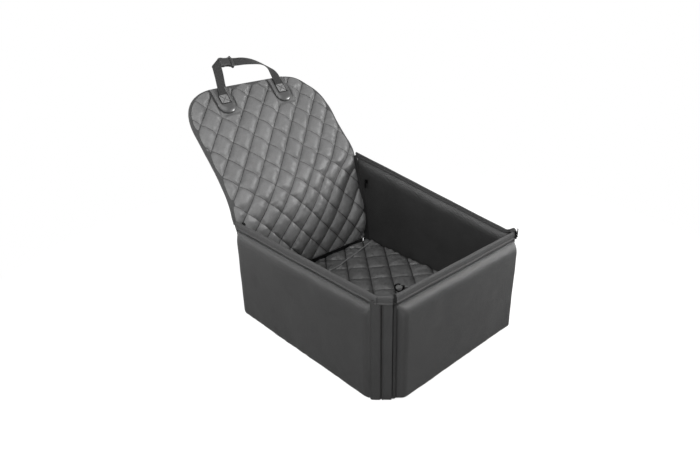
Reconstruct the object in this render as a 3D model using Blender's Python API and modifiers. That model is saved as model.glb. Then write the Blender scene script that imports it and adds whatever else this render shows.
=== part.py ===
"""Dog car seat: a padded box with fold-out walls, a quilted back, a headrest strap and a tether.

Metres, +Z up. The origin is under the middle of the box, on the face that it stands on.
-Y is the open front of the seat, +Y the side that leans on the car seat's back.
"""
import math

import bmesh
import bpy
from mathutils import Matrix, Vector

# Driving dimensions
WIDTH = 0.467            # box, outside of the side pads
DEPTH = 0.510            # box, outside of the front pad to the back panel's hinge
HEIGHT = 0.250           # top of the rim
CORNER = 0.036           # leg of the slanted front corners
FLOOR_TOP = 0.058        # top of the quilted floor pad
BACK_LEAN = math.radians(44)
BACK_LENGTH = 0.351      # upper back, from its fold to the top edge
BACK_HALF_WIDTH = 0.2235
BACK_TOP_HALF = 0.2135   # half-width where the upper corners' round begins
WEBBING = 0.025
WEBBING_THICKNESS = 0.0016
GAP = 0.0003             # between pieces that touch

# Layers of a wall, from its outer face inwards
OUTER_PAD = 0.007
BOARD = 0.003
INNER_PAD = 0.0119
WALL = OUTER_PAD + BOARD + INNER_PAD + 2 * GAP
RIM = 0.0066             # thickness of the folded edge binding
RIM_LEG = 0.0238         # how far the binding reaches down the wall
RIM_CLOTH = 0.0016
FOOT = 0.0026            # underside of the walls, above the base sheet

# Base
SHEET = 0.002
SHEET_REACH = 0.0145     # sheet behind the back panel's front face
BASE_GAP = 0.0008        # between the tray and the walls around it
BASE_BOARD = 0.004
PAD_THICKNESS = 0.0125

# Back panel, front face to rear face
BACK_FRONT = 0.2555
QUILT = 0.0075
CORE = 0.002
LINING = 0.0019
PANEL = QUILT + CORE + LINING + 2 * GAP
FOLD_HEIGHT = 0.2595
FOLD_CLEARANCE = 0.0065
BACK_CORNER = 0.118      # size of the upper corners' round
BACK_CORNER_POWER = 2.4
BINDING = 0.004

# Zips
CHAIN_WIDTH = 0.0044
CHAIN_DEPTH = 0.0024
TAPE = 0.0008
TAPE_REACH = 0.012
SLIDER_HALF = 0.00355
SLIDER_HEIGHT = 0.011
SLIDER_TOP = 0.2435
CHAIN_TOP = 0.2440
TAB_LENGTH = 0.020
TAB_WIDTH = 0.0052
GROOVE_START = CORNER * math.sqrt(2) - 0.0098   # along the slanted corner, where the gusset ends
GROOVE_CENTRE = GROOVE_START + 0.0039

# Headrest strap and its buckle, in the upper back's own plane
PATCH_X = 0.0915
PATCH_WIDTH = 0.052
PATCH_LOW = 0.270
PATCH_HIGH = 0.3460
PATCH_THICKNESS = 0.003
STRAP_FOLD = 0.3540
BUCKLE_X = -0.0316
BUCKLE_S = 0.4185
BUCKLE_TILT = math.radians(6.4)
BUCKLE_WIDTH = 0.033
BUCKLE_THICKNESS = 0.0100
SOCKET_LEFT = -0.0205
SOCKET_RIGHT = 0.0085
PLUG_RIGHT = 0.0245
LEG_LEAN = math.radians(75)
LEG_FOLD = [(-0.0560, 0.3959), (-0.0523, 0.4284), (-0.0777, 0.4111)]

# Tether hook
HOOK_X = 0.050
HOOK_Y = -0.029
HOOK_RING = 0.0105
HOOK_WIRE = 0.0022
HOOK_TURN = math.radians(120)
EYE_FAR = -0.0340
TETHER_WIDTH = 0.015
TETHER_THICKNESS = 0.0014
TETHER_ROUTE = [
    (0.0683, -0.0607, 0.0700), (0.0729, -0.0690, 0.0658), (0.0786, -0.0798, 0.0612), (0.0841, -0.0925, 0.0593),
    (0.0889, -0.1072, 0.0592), (0.0905, -0.1235, 0.0592), (0.0860, -0.1401, 0.0592), (0.0747, -0.1539, 0.0592),
    (0.0580, -0.1629, 0.0592), (0.0383, -0.1676, 0.0592), (0.0179, -0.1702, 0.0592), (-0.0024, -0.1718, 0.0592),
    (-0.0227, -0.1723, 0.0592), (-0.0428, -0.1712, 0.0592), (-0.0627, -0.1705, 0.0592), (-0.0796, -0.1705, 0.0592),
]

for old in list(bpy.data.objects):
    bpy.data.objects.remove(old, do_unlink=True)
parts = bpy.data.collections.new("dog_car_seat")
cutters = bpy.data.collections.new("cutters")
for group in (parts, cutters):
    bpy.context.scene.collection.children.link(group)

FINISHES = {
    "smooth_cloth": ((0.022, 0.022, 0.024), 0.55, 0.0),
    "quilted_cloth": ((0.040, 0.040, 0.043), 0.42, 0.0),
    "lining_cloth": ((0.018, 0.018, 0.019), 0.80, 0.0),
    "webbing": ((0.020, 0.020, 0.022), 0.70, 0.0),
    "board": ((0.055, 0.055, 0.058), 0.50, 0.0),
    "foam": ((0.260, 0.260, 0.255), 0.95, 0.0),
    "moulded_patch": ((0.020, 0.020, 0.022), 0.25, 0.0),
    "plastic": ((0.016, 0.016, 0.018), 0.35, 0.0),
    "zip_teeth": ((0.015, 0.015, 0.016), 0.45, 0.0),
    "dark_metal": ((0.060, 0.060, 0.065), 0.30, 1.0),
}


def finish(obj, kind):
    """Gives the object a material of its own."""
    colour, roughness, metallic = FINISHES[kind]
    material = bpy.data.materials.new(obj.name + "_" + kind)
    material.use_nodes = True
    shader = material.node_tree.nodes["Principled BSDF"]
    shader.inputs["Base Color"].default_value = (*colour, 1.0)
    shader.inputs["Roughness"].default_value = roughness
    shader.inputs["Metallic"].default_value = metallic
    obj.data.materials.clear()
    obj.data.materials.append(material)


def add(name, mesh, kind=None, parent=None, group=parts):
    """Puts a mesh in the scene as a part, or as a cutter where it has no finish."""
    obj = bpy.data.objects.new(name, mesh)
    group.objects.link(obj)
    obj.parent = parent
    if kind:
        finish(obj, kind)
    return obj


def frame_at(name, location, turn=(0, 0, 0), parent=None):
    """An empty on a joint's axis or at a sub-assembly's own origin."""
    empty = bpy.data.objects.new(name, None)
    parts.objects.link(empty)
    empty.parent = parent
    empty.location = location
    empty.rotation_euler = turn
    return empty


def block_mesh(name, low, high, round_edges=0.0, segments=2, where=None):
    """A box between two corners, with the edges that `where` accepts rounded."""
    shape = bmesh.new()
    bmesh.ops.create_cube(shape, size=1.0)
    low, high = Vector(low), Vector(high)
    bmesh.ops.scale(shape, vec=high - low, verts=shape.verts)
    bmesh.ops.translate(shape, vec=(high + low) / 2, verts=shape.verts)
    if round_edges:
        edges = [e for e in shape.edges if where is None or where((e.verts[0].co + e.verts[1].co) / 2)]
        bmesh.ops.bevel(shape, geom=edges, offset=round_edges, segments=segments, profile=0.5, affect="EDGES")
    mesh = bpy.data.meshes.new(name)
    shape.to_mesh(mesh)
    shape.free()
    return mesh


def block(name, low, high, kind, parent=None, round_edges=0.0, segments=2, where=None):
    return add(name, block_mesh(name, low, high, round_edges, segments, where), kind, parent)


def prism_mesh(name, outline, low, high):
    """An outline in X and Y, made solid from height low to height high."""
    curve = bpy.data.curves.new(name, "CURVE")
    curve.dimensions = "2D"
    curve.fill_mode = "BOTH"
    curve.extrude = (high - low) / 2
    line = curve.splines.new("POLY")
    line.points.add(len(outline) - 1)
    for point, place in zip(line.points, outline):
        point.co = (place[0], place[1], 0, 1)
    line.use_cyclic_u = True
    source = bpy.data.objects.new(name + "_outline", curve)
    cutters.objects.link(source)
    bpy.context.view_layer.update()
    mesh = bpy.data.meshes.new_from_object(source.evaluated_get(bpy.context.evaluated_depsgraph_get()))
    bpy.data.objects.remove(source, do_unlink=True)
    shape = bmesh.new()
    shape.from_mesh(mesh)
    bmesh.ops.remove_doubles(shape, verts=shape.verts, dist=0.00002)
    bmesh.ops.translate(shape, vec=(0, 0, (high + low) / 2), verts=shape.verts)
    bmesh.ops.recalc_face_normals(shape, faces=shape.faces)
    shape.to_mesh(mesh)
    shape.free()
    mesh.name = name
    return mesh


def prism(name, outline, low, high, kind, parent=None):
    return add(name, prism_mesh(name, outline, low, high), kind, parent)


def ribbon_mesh(name, path, low, high):
    """An upright open band along a path in X and Y."""
    shape = bmesh.new()
    points = [shape.verts.new((x, y, low)) for x, y in path]
    edges = [shape.edges.new(pair) for pair in zip(points, points[1:])]
    raised = bmesh.ops.extrude_edge_only(shape, edges=edges)["geom"]
    bmesh.ops.translate(shape, vec=(0, 0, high - low), verts=[v for v in raised if isinstance(v, bmesh.types.BMVert)])
    mesh = bpy.data.meshes.new(name)
    shape.to_mesh(mesh)
    shape.free()
    return mesh


def thicken(obj, thickness):
    """Solidify to both sides of an open surface."""
    solid = obj.modifiers.new("thickness", "SOLIDIFY")
    solid.thickness = thickness
    solid.offset = 0
    solid.use_even_offset = True
    return obj


def cut(obj, cutter, operation="DIFFERENCE"):
    cutter.hide_render = True
    cutter.display_type = "WIRE"
    boolean = obj.modifiers.new("cut", "BOOLEAN")
    boolean.operation = operation
    boolean.solver = "EXACT"
    boolean.object = cutter
    return obj


def cylinder_mesh(name, radius, start, end, sides=16, hole=0.0):
    """A round bar from start to end, or a tube where it has a hole."""
    start, end = Vector(start), Vector(end)
    axis = end - start
    shape = bmesh.new()
    bmesh.ops.create_cone(shape, cap_ends=not hole, segments=sides, radius1=radius, radius2=radius, depth=axis.length)
    if hole:
        inner = bmesh.ops.create_cone(
            shape, cap_ends=False, segments=sides, radius1=hole, radius2=hole, depth=axis.length)
        bmesh.ops.reverse_faces(shape, faces=list({f for v in inner["verts"] for f in v.link_faces}))
        rims = [e for e in shape.edges if e.is_boundary]
        for side in (-1, 1):
            bmesh.ops.bridge_loops(shape, edges=[e for e in rims if e.verts[0].co.z * side > 0])
        bmesh.ops.recalc_face_normals(shape, faces=shape.faces)
    turn = axis.to_track_quat("Z", "Y").to_matrix().to_4x4()
    bmesh.ops.transform(shape, matrix=Matrix.Translation((start + end) / 2) @ turn, verts=shape.verts)
    mesh = bpy.data.meshes.new(name)
    shape.to_mesh(mesh)
    shape.free()
    return mesh


def tube_mesh(name, points, radius, closed=False):
    """A round wire through the points, as one closed mesh."""
    curve = bpy.data.curves.new(name, "CURVE")
    curve.dimensions = "3D"
    curve.bevel_depth = radius
    curve.bevel_resolution = 2
    curve.use_fill_caps = True
    line = curve.splines.new("POLY")
    line.points.add(len(points) - 1)
    for point, place in zip(line.points, points):
        point.co = (*place, 1)
    line.use_cyclic_u = closed
    source = bpy.data.objects.new(name + "_wire", curve)
    cutters.objects.link(source)
    bpy.context.view_layer.update()
    mesh = bpy.data.meshes.new_from_object(source.evaluated_get(bpy.context.evaluated_depsgraph_get()))
    bpy.data.objects.remove(source, do_unlink=True)
    shape = bmesh.new()
    shape.from_mesh(mesh)
    bmesh.ops.remove_doubles(shape, verts=shape.verts, dist=0.00002)
    bmesh.ops.recalc_face_normals(shape, faces=shape.faces)
    shape.to_mesh(mesh)
    shape.free()
    mesh.name = name
    return mesh


def smooth_route(points, steps):
    """Points on a smooth curve through the given ones."""
    places = [Vector(p) for p in points]
    ends = [places[0] * 2 - places[1]] + places + [places[-1] * 2 - places[-2]]
    route = []
    for a, b, c, d in zip(ends, ends[1:], ends[2:], ends[3:]):
        for step in range(steps):
            t = step / steps
            route.append(0.5 * (2 * b + (c - a) * t + (2 * a - 5 * b + 4 * c - d) * t**2 + (3 * b - a - 3 * c + d) * t**3))
    return route + [places[-1]]


def strap_mesh(name, centres, sides_of):
    """A flat band: at each centre, sides_of gives the half-width vector."""
    count = len(centres)
    shape = bmesh.new()
    bmesh.ops.create_grid(shape, x_segments=count - 1, y_segments=1, size=1.0)
    columns = sorted(shape.verts, key=lambda v: (round(v.co.x, 5), v.co.y))
    for index, centre in enumerate(centres):
        columns[2 * index].co = centre - sides_of[index]
        columns[2 * index + 1].co = centre + sides_of[index]
    mesh = bpy.data.meshes.new(name)
    shape.to_mesh(mesh)
    shape.free()
    return mesh


# Base: sheet with a tray, board, foam and the quilted floor pad
TRAY_X = WIDTH / 2 - WALL - BASE_GAP
TRAY_FRONT = -(DEPTH / 2 - WALL - BASE_GAP)
TRAY_BACK = BACK_FRONT - BASE_GAP
TRAY_TOP = FLOOR_TOP - PAD_THICKNESS - GAP


def tray_outline(inset, slant=0.006):
    """The tray's plan, moved inwards, with its front corners cut to clear the gussets."""
    x, front, back = TRAY_X - inset, TRAY_FRONT + inset, TRAY_BACK - inset
    return [(-x, back), (-x, front + slant), (-x + slant, front), (x - slant, front), (x, front + slant), (x, back)]


def build_base():
    half, front, back = WIDTH / 2 - 0.001, -DEPTH / 2 + 0.001, BACK_FRONT + SHEET_REACH
    outline = [
        (-half, back), (-half, front + CORNER), (-half + CORNER, front),
        (half - CORNER, front), (half, front + CORNER), (half, back),
    ]
    cover = prism("base_cover", outline, 0, SHEET, "smooth_cloth")
    cut(cover, add("tray", prism_mesh("tray", tray_outline(0), SHEET / 2, TRAY_TOP), group=cutters), "UNION")
    cut(cover, add("tray_room", prism_mesh("tray_room", tray_outline(SHEET), SHEET, TRAY_TOP + 0.01), group=cutters))
    filling = tray_outline(SHEET + GAP)
    board_top = SHEET + GAP + BASE_BOARD
    prism("base_board", filling, SHEET + GAP, board_top, "board")
    prism("base_foam", filling, board_top + GAP, TRAY_TOP, "foam")
    quilt = prism("floor_quilt", tray_outline(0), FLOOR_TOP - PAD_THICKNESS, FLOOR_TOP, "quilted_cloth")
    bevel = quilt.modifiers.new("soft_edge", "BEVEL")
    bevel.width = 0.003
    bevel.segments = 2


# Walls, each in a frame of its own: X along the hinge, -Y outwards
def wall_pads(prefix, frame, left, right):
    pad_top = HEIGHT - RIM_LEG - GAP
    board_in = OUTER_PAD + GAP
    inner = board_in + BOARD + GAP
    block(prefix + "_outer_pad", (left, 0, FOOT), (right, OUTER_PAD, pad_top), "smooth_cloth", frame,
          0.0045, 2, lambda p: p.y < 0.001)
    block(prefix + "_board", (left + 0.004, board_in, FOOT + 0.003), (right - 0.004, board_in + BOARD, HEIGHT - 0.0025),
          "board", frame)
    block(prefix + "_inner_pad", (left, inner, FOOT), (right, inner + INNER_PAD, pad_top), "smooth_cloth", frame,
          0.006, 2, lambda p: p.y > WALL - 0.001 and p.z > 0.1)


def rim_binding(prefix, frame, path):
    """Edge binding folded over the top of the wall, open below around the board."""
    band = add(prefix + "_rim_binding", ribbon_mesh("rim", path, HEIGHT - RIM_LEG, HEIGHT), "webbing", frame)
    thicken(band, RIM)
    first, last = Vector(path[0]), Vector(path[-1])
    longer = [tuple(first + (first - Vector(path[1])).normalized() * 0.01)] + path[1:-1]
    longer.append(tuple(last + (last - Vector(path[-2])).normalized() * 0.01))
    room = add(prefix + "_rim_room", ribbon_mesh("rim_room", longer, HEIGHT - RIM_LEG - 0.01, HEIGHT - RIM_CLOTH),
               parent=frame, group=cutters)
    cut(band, thicken(room, RIM - 2 * RIM_CLOTH))


BOARD_MIDDLE = OUTER_PAD + GAP + BOARD / 2
SIDE_FRONT = DEPTH / 2 - CORNER
SIDE_BACK = 0.2522
SLANT = math.sqrt(0.5)
GUSSET = 0.003
GUSSET_INSET = 0.0025


def slant_point(along, side):
    """A point on the slanted corner's middle line, in a side wall's frame."""
    x = SIDE_FRONT + (along - GUSSET_INSET) * SLANT
    return x * side, (along + GUSSET_INSET) * SLANT


def build_side_wall(prefix, side):
    """side is +1 for the wall whose front end is at +X of its own frame."""
    turn = -math.pi / 2 * side
    frame = frame_at(prefix + "_wall_hinge", (-side * WIDTH / 2, 0, FOOT), (0, 0, turn))
    holder = frame_at(prefix + "_wall_frame", (0, 0, -FOOT), parent=frame)
    ends = sorted((-SIDE_BACK * side, SIDE_FRONT * side))
    wall_pads(prefix, holder, *ends)
    kink = SIDE_FRONT + BOARD_MIDDLE - 2 * GUSSET_INSET * SLANT
    end = slant_point(GROOVE_START, side)
    rim_binding(prefix, holder, [(-SIDE_BACK * side, BOARD_MIDDLE), (kink * side, BOARD_MIDDLE), end])
    start = slant_point(0.0060, side)
    gusset = add(prefix + "_corner_gusset", ribbon_mesh("gusset", [start, end], FOOT, HEIGHT - RIM_LEG - GAP),
                 "smooth_cloth", holder)
    thicken(gusset, GUSSET)
    x, y = slant_point(GROOVE_CENTRE, side)
    build_zip("front_" + prefix, holder, (x, y), side * math.pi / 4, -side, 0, FOOT + 0.002)
    tape_back = WALL + GAP + TAPE + CHAIN_DEPTH - 0.0009
    build_zip("rear_" + prefix, holder, (-0.2500 * side, tape_back), math.pi, -side, math.pi, FLOOR_TOP + 0.002)


def build_zip(prefix, holder, place, angle, tape_side, tab_turn, bottom):
    """Closed chain on its tape, a slider around it and the slider's pull tab. -Y is the zip's face."""
    frame = frame_at(prefix + "_zip_frame", (*place, 0), (0, 0, angle), holder)
    half, face, back = CHAIN_WIDTH / 2, -0.0009, CHAIN_DEPTH - 0.0009
    zip_body = add(prefix + "_zip", block_mesh("chain", (-half, face, bottom), (half, back + TAPE, CHAIN_TOP)),
                   "zip_teeth", frame)
    reach = sorted((0, tape_side * TAPE_REACH))
    tape = block_mesh("tape", (reach[0], back, bottom), (reach[1], back + TAPE, HEIGHT - RIM_LEG - GAP))
    cut(zip_body, add(prefix + "_tape", tape, parent=frame, group=cutters), "UNION")
    slide = frame_at(prefix + "_zip_slide", (0, 0, SLIDER_TOP), parent=frame)
    inner, flange, front = half + 0.00035, SLIDER_HALF, -0.0026
    hollow = face - 0.00035
    c_shape = [
        (-flange, front), (flange, front), (flange, back - 0.0006), (inner, back - 0.0006), (inner, hollow),
        (-inner, hollow), (-inner, back - 0.0006), (-flange, back - 0.0006),
    ]
    body = prism(prefix + "_zip_slider", c_shape, -SLIDER_HEIGHT, 0, "dark_metal", slide)
    pivot_y, pivot_z = front - 0.0016, -0.0055
    for sign in (-1, 1):
        lug = block_mesh("lug", (sign * 0.0020 - 0.00045, pivot_y - 0.0009, pivot_z - 0.0012),
                         (sign * 0.0020 + 0.00045, front + 0.0004, pivot_z + 0.0012))
        cut(body, add(prefix + "_lug", lug, parent=slide, group=cutters), "UNION")
    pin = cylinder_mesh("pin", 0.0006, (-0.0022, pivot_y, pivot_z), (0.0022, pivot_y, pivot_z), 8)
    cut(body, add(prefix + "_pin", pin, parent=slide, group=cutters), "UNION")
    flip = frame_at(prefix + "_pull_hinge", (0, pivot_y, pivot_z), (tab_turn, 0, 0), slide)
    barrel = cylinder_mesh("barrel", 0.0015, (-0.0012, 0, 0), (0.0012, 0, 0), 12, hole=0.0009)
    tab = add(prefix + "_pull_tab", barrel, "dark_metal", flip)
    neck = block_mesh("neck", (-0.0011, -0.0006, 0.0012), (0.0011, 0.0006, 0.0048))
    cut(tab, add(prefix + "_tab_neck", neck, parent=flip, group=cutters), "UNION")
    plate = block_mesh("plate", (-TAB_WIDTH / 2, -0.0006, 0.0046), (TAB_WIDTH / 2, 0.0006, TAB_LENGTH),
                       0.0018, 2, lambda p: abs(p.x) > TAB_WIDTH / 2 - 0.0001 and abs(p.y) < 0.0001)
    cut(tab, add(prefix + "_tab_plate", plate, parent=flip, group=cutters), "UNION")


def build_front_wall():
    frame = frame_at("front_wall_hinge", (0, -DEPTH / 2, FOOT))
    holder = frame_at("front_wall_frame", (0, 0, -FOOT), parent=frame)
    reach = WIDTH / 2 - CORNER - 0.002
    wall_pads("front", holder, -reach, reach)
    rim_binding("front", holder, [(-reach, BOARD_MIDDLE), (reach, BOARD_MIDDLE)])


# Back: a lower panel that closes the box and an upper panel that leans on the car seat
LAYERS = [("quilt", QUILT, "quilted_cloth"), ("core", CORE, "foam"), ("lining", LINING, "lining_cloth")]
FOLD_Y = BACK_FRONT + PANEL / 2


def build_lower_back():
    frame = frame_at("lower_back_hinge", (0, BACK_FRONT + PANEL, FOOT))
    depth = -PANEL
    for layer, thickness, kind in LAYERS:
        inset = 0.004 if layer == "core" else 0
        low = (-BACK_HALF_WIDTH + inset, depth, inset)
        high = (BACK_HALF_WIDTH - inset, depth + thickness, FOLD_HEIGHT - FOLD_CLEARANCE - FOOT - inset)
        block("lower_back_" + layer, low, high, kind, frame,
              0.003 if layer == "quilt" else 0, 2, lambda p: p.y < -PANEL + 0.0005)
        depth += thickness + GAP
    return frame


def back_outline(inset):
    """Right-hand half and left-hand half of the upper back's edge, from its fold over the top."""
    half, upper_half, top = BACK_HALF_WIDTH - inset, BACK_TOP_HALF - inset, BACK_LENGTH - inset
    reach = BACK_CORNER - inset
    steps = 10
    corner = []
    for step in range(steps + 1):
        angle = math.pi / 2 * step / steps
        x = upper_half - reach + reach * math.cos(angle) ** (2 / BACK_CORNER_POWER)
        s = top - reach + reach * math.sin(angle) ** (2 / BACK_CORNER_POWER)
        corner.append((x, s))
    right = [(half, FOLD_CLEARANCE)] + corner
    return right + [(-x, s) for x, s in reversed(right)]


def upright_prism(name, outline, front, back, kind, parent):
    """A prism whose outline lies in X and Z and whose thickness runs along Y."""
    mesh = prism_mesh(name, outline, -back, -front)
    mesh.transform(Matrix.Rotation(math.pi / 2, 4, "X"))
    return add(name, mesh, kind, parent)


def build_upper_back():
    hinge = frame_at("upper_back_hinge", (0, FOLD_Y, FOLD_HEIGHT), (-BACK_LEAN, 0, 0))
    front = -PANEL / 2
    for layer, thickness, kind in LAYERS:
        inset = BINDING + GAP + (0.004 if layer == "core" else 0)
        outline = back_outline(inset)
        upright_prism("upper_back_" + layer, outline, front, front + thickness, kind, hinge)
        front += thickness + GAP
    edge = ribbon_mesh("edge", back_outline(BINDING / 2), -PANEL / 2 - 0.0005, PANEL / 2 + 0.0005)
    edge.transform(Matrix.Rotation(math.pi / 2, 4, "X"))
    thicken(add("upper_back_binding", edge, "webbing", hinge), BINDING)
    return hinge


def sewn_centre(side, s):
    """Middle of the sewn webbing at height s; the left leg leans towards the buckle."""
    if side < 0:
        return -PATCH_X + (s - 0.3110) / math.tan(LEG_LEAN), s
    return PATCH_X + 0.06 * (s - 0.2950), s


def band_outline(low, high):
    """Outline of webbing between two points of its centre line, cut level at both."""
    half = WEBBING / 2 * math.dist(low, high) / (high[1] - low[1])
    return [(low[0] - half, low[1]), (low[0] + half, low[1]), (high[0] + half, high[1]), (high[0] - half, high[1])]


def build_patches(hinge):
    """Moulded U-shaped patches with the sewn ends of the headrest strap."""
    face = -PANEL / 2 - GAP
    steps = 8
    for name, side in (("left", -1), ("right", 1)):
        half = PATCH_WIDTH / 2
        bowl = [(half * math.cos(math.pi * k / steps), PATCH_LOW + half - half * math.sin(math.pi * k / steps))
                for k in range(steps + 1)]
        outline = [(side * PATCH_X + x, s) for x, s in [(half, PATCH_HIGH)] + bowl + [(-half, PATCH_HIGH)]]
        upright_prism(name + "_strap_patch", outline, face - PATCH_THICKNESS, face, "moulded_patch", hinge)
        over = face - PATCH_THICKNESS - GAP
        outline = band_outline(*(sewn_centre(side, s) for s in (0.2950, STRAP_FOLD - 0.0012)))
        upright_prism(name + "_strap_end", outline, over - WEBBING_THICKNESS, over, "webbing", hinge)


STRAP_Y = -PANEL / 2 - 2 * GAP - PATCH_THICKNESS - WEBBING_THICKNESS / 2


def strap_run(name, frame, points):
    """Webbing through points (x, s, degrees), the angle being its turn out of the back's plane."""
    route = smooth_route([(x, turn / 1000, s - STRAP_FOLD) for x, s, turn in points], 3)
    centres = [Vector((place.x, 0, place.z)) for place in route]
    halves = []
    for index, place in enumerate(route):
        before, after = centres[max(index - 1, 0)], centres[min(index + 1, len(centres) - 1)]
        along = (after - before).normalized()
        turn = math.radians(place.y * 1000)
        across = Vector((along.z, 0, -along.x)) * math.cos(turn) + Vector((0, math.sin(turn), 0))
        halves.append(across * WEBBING / 2)
    return thicken(add(name, strap_mesh(name, centres, halves), "webbing", frame), WEBBING_THICKNESS)


def buckle_end(along):
    """A point on the buckle's axis, in the upper back's plane."""
    return BUCKLE_X + along * math.cos(BUCKLE_TILT), BUCKLE_S - along * math.sin(BUCKLE_TILT)


def build_headrest_strap(hinge):
    fold = frame_at("headrest_strap_hinge", (0, STRAP_Y, STRAP_FOLD), parent=hinge)
    buckle = frame_at("buckle_frame", (BUCKLE_X, 0, BUCKLE_S - STRAP_FOLD), (0, BUCKLE_TILT, 0), fold)
    half, thick = BUCKLE_WIDTH / 2, BUCKLE_THICKNESS / 2
    socket = block("buckle_socket", (SOCKET_LEFT, -thick, -half), (SOCKET_RIGHT, thick, half), "plastic", buckle,
                   0.0028, 2, lambda p: abs(p.x) < SOCKET_RIGHT and abs(p.y) > 0.001)
    rooms = {
        "socket_room": ((-0.0100, -0.0033, -0.0130), (SOCKET_RIGHT + 0.01, 0.0033, 0.0130)),
        "socket_windows": ((-0.0075, -0.0033, -0.0200), (0.0025, 0.0033, 0.0200)),
        "socket_slot": ((-0.0175, -0.0100, -0.0132), (-0.0130, 0.0100, 0.0132)),
    }
    for name, (low, high) in rooms.items():
        cut(socket, add(name, block_mesh(name, low, high), parent=buckle, group=cutters))
    slide = frame_at("buckle_plug_slide", (0, 0, 0), parent=buckle)
    plug = block("buckle_plug", (SOCKET_RIGHT + GAP, -thick, -half), (PLUG_RIGHT, thick, half), "plastic", slide,
                 0.0028, 2, lambda p: abs(p.x) > SOCKET_RIGHT + 0.001 and abs(p.y) > 0.001)
    prongs = {
        "plug_guide": ((-0.0085, -0.0018, -0.0022), (SOCKET_RIGHT + 0.002, 0.0018, 0.0022)),
        "plug_arm_low": ((-0.0065, -0.0026, -0.0126), (SOCKET_RIGHT + 0.002, 0.0026, -0.0086)),
        "plug_arm_high": ((-0.0065, -0.0026, 0.0086), (SOCKET_RIGHT + 0.002, 0.0026, 0.0126)),
    }
    for name, (low, high) in prongs.items():
        cut(plug, add(name, block_mesh(name, low, high), parent=slide, group=cutters), "UNION")
    for name, left in (("plug_slot_inner", 0.0110), ("plug_slot_outer", 0.0180)):
        slot = block_mesh(name, (left, -0.0100, -0.0132), (left + 0.0042, 0.0100, 0.0132))
        cut(plug, add(name, slot, parent=slide, group=cutters))
    foot = band_outline(sewn_centre(-1, STRAP_FOLD + 0.0012), sewn_centre(-1, 0.4))[:2]
    leg = [(x, s - STRAP_FOLD) for x, s in foot + LEG_FOLD]
    upright_prism("strap_left_webbing", leg, -WEBBING_THICKNESS / 2, WEBBING_THICKNESS / 2, "webbing", fold)
    strap_run("strap_right_webbing", fold, [
        (*buckle_end(PLUG_RIGHT + 0.0012), 0), (0.0040, 0.4150, 4), (0.0160, 0.4148, 12), (0.0300, 0.4132, 26),
        (0.0446, 0.4101, 44), (0.0580, 0.4058, 60), (0.0700, 0.4000, 70), (0.0810, 0.3915, 70), (0.0890, 0.3800, 52),
        (0.0935, 0.3670, 22), (*sewn_centre(1, STRAP_FOLD + 0.0035), 0)])


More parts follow.
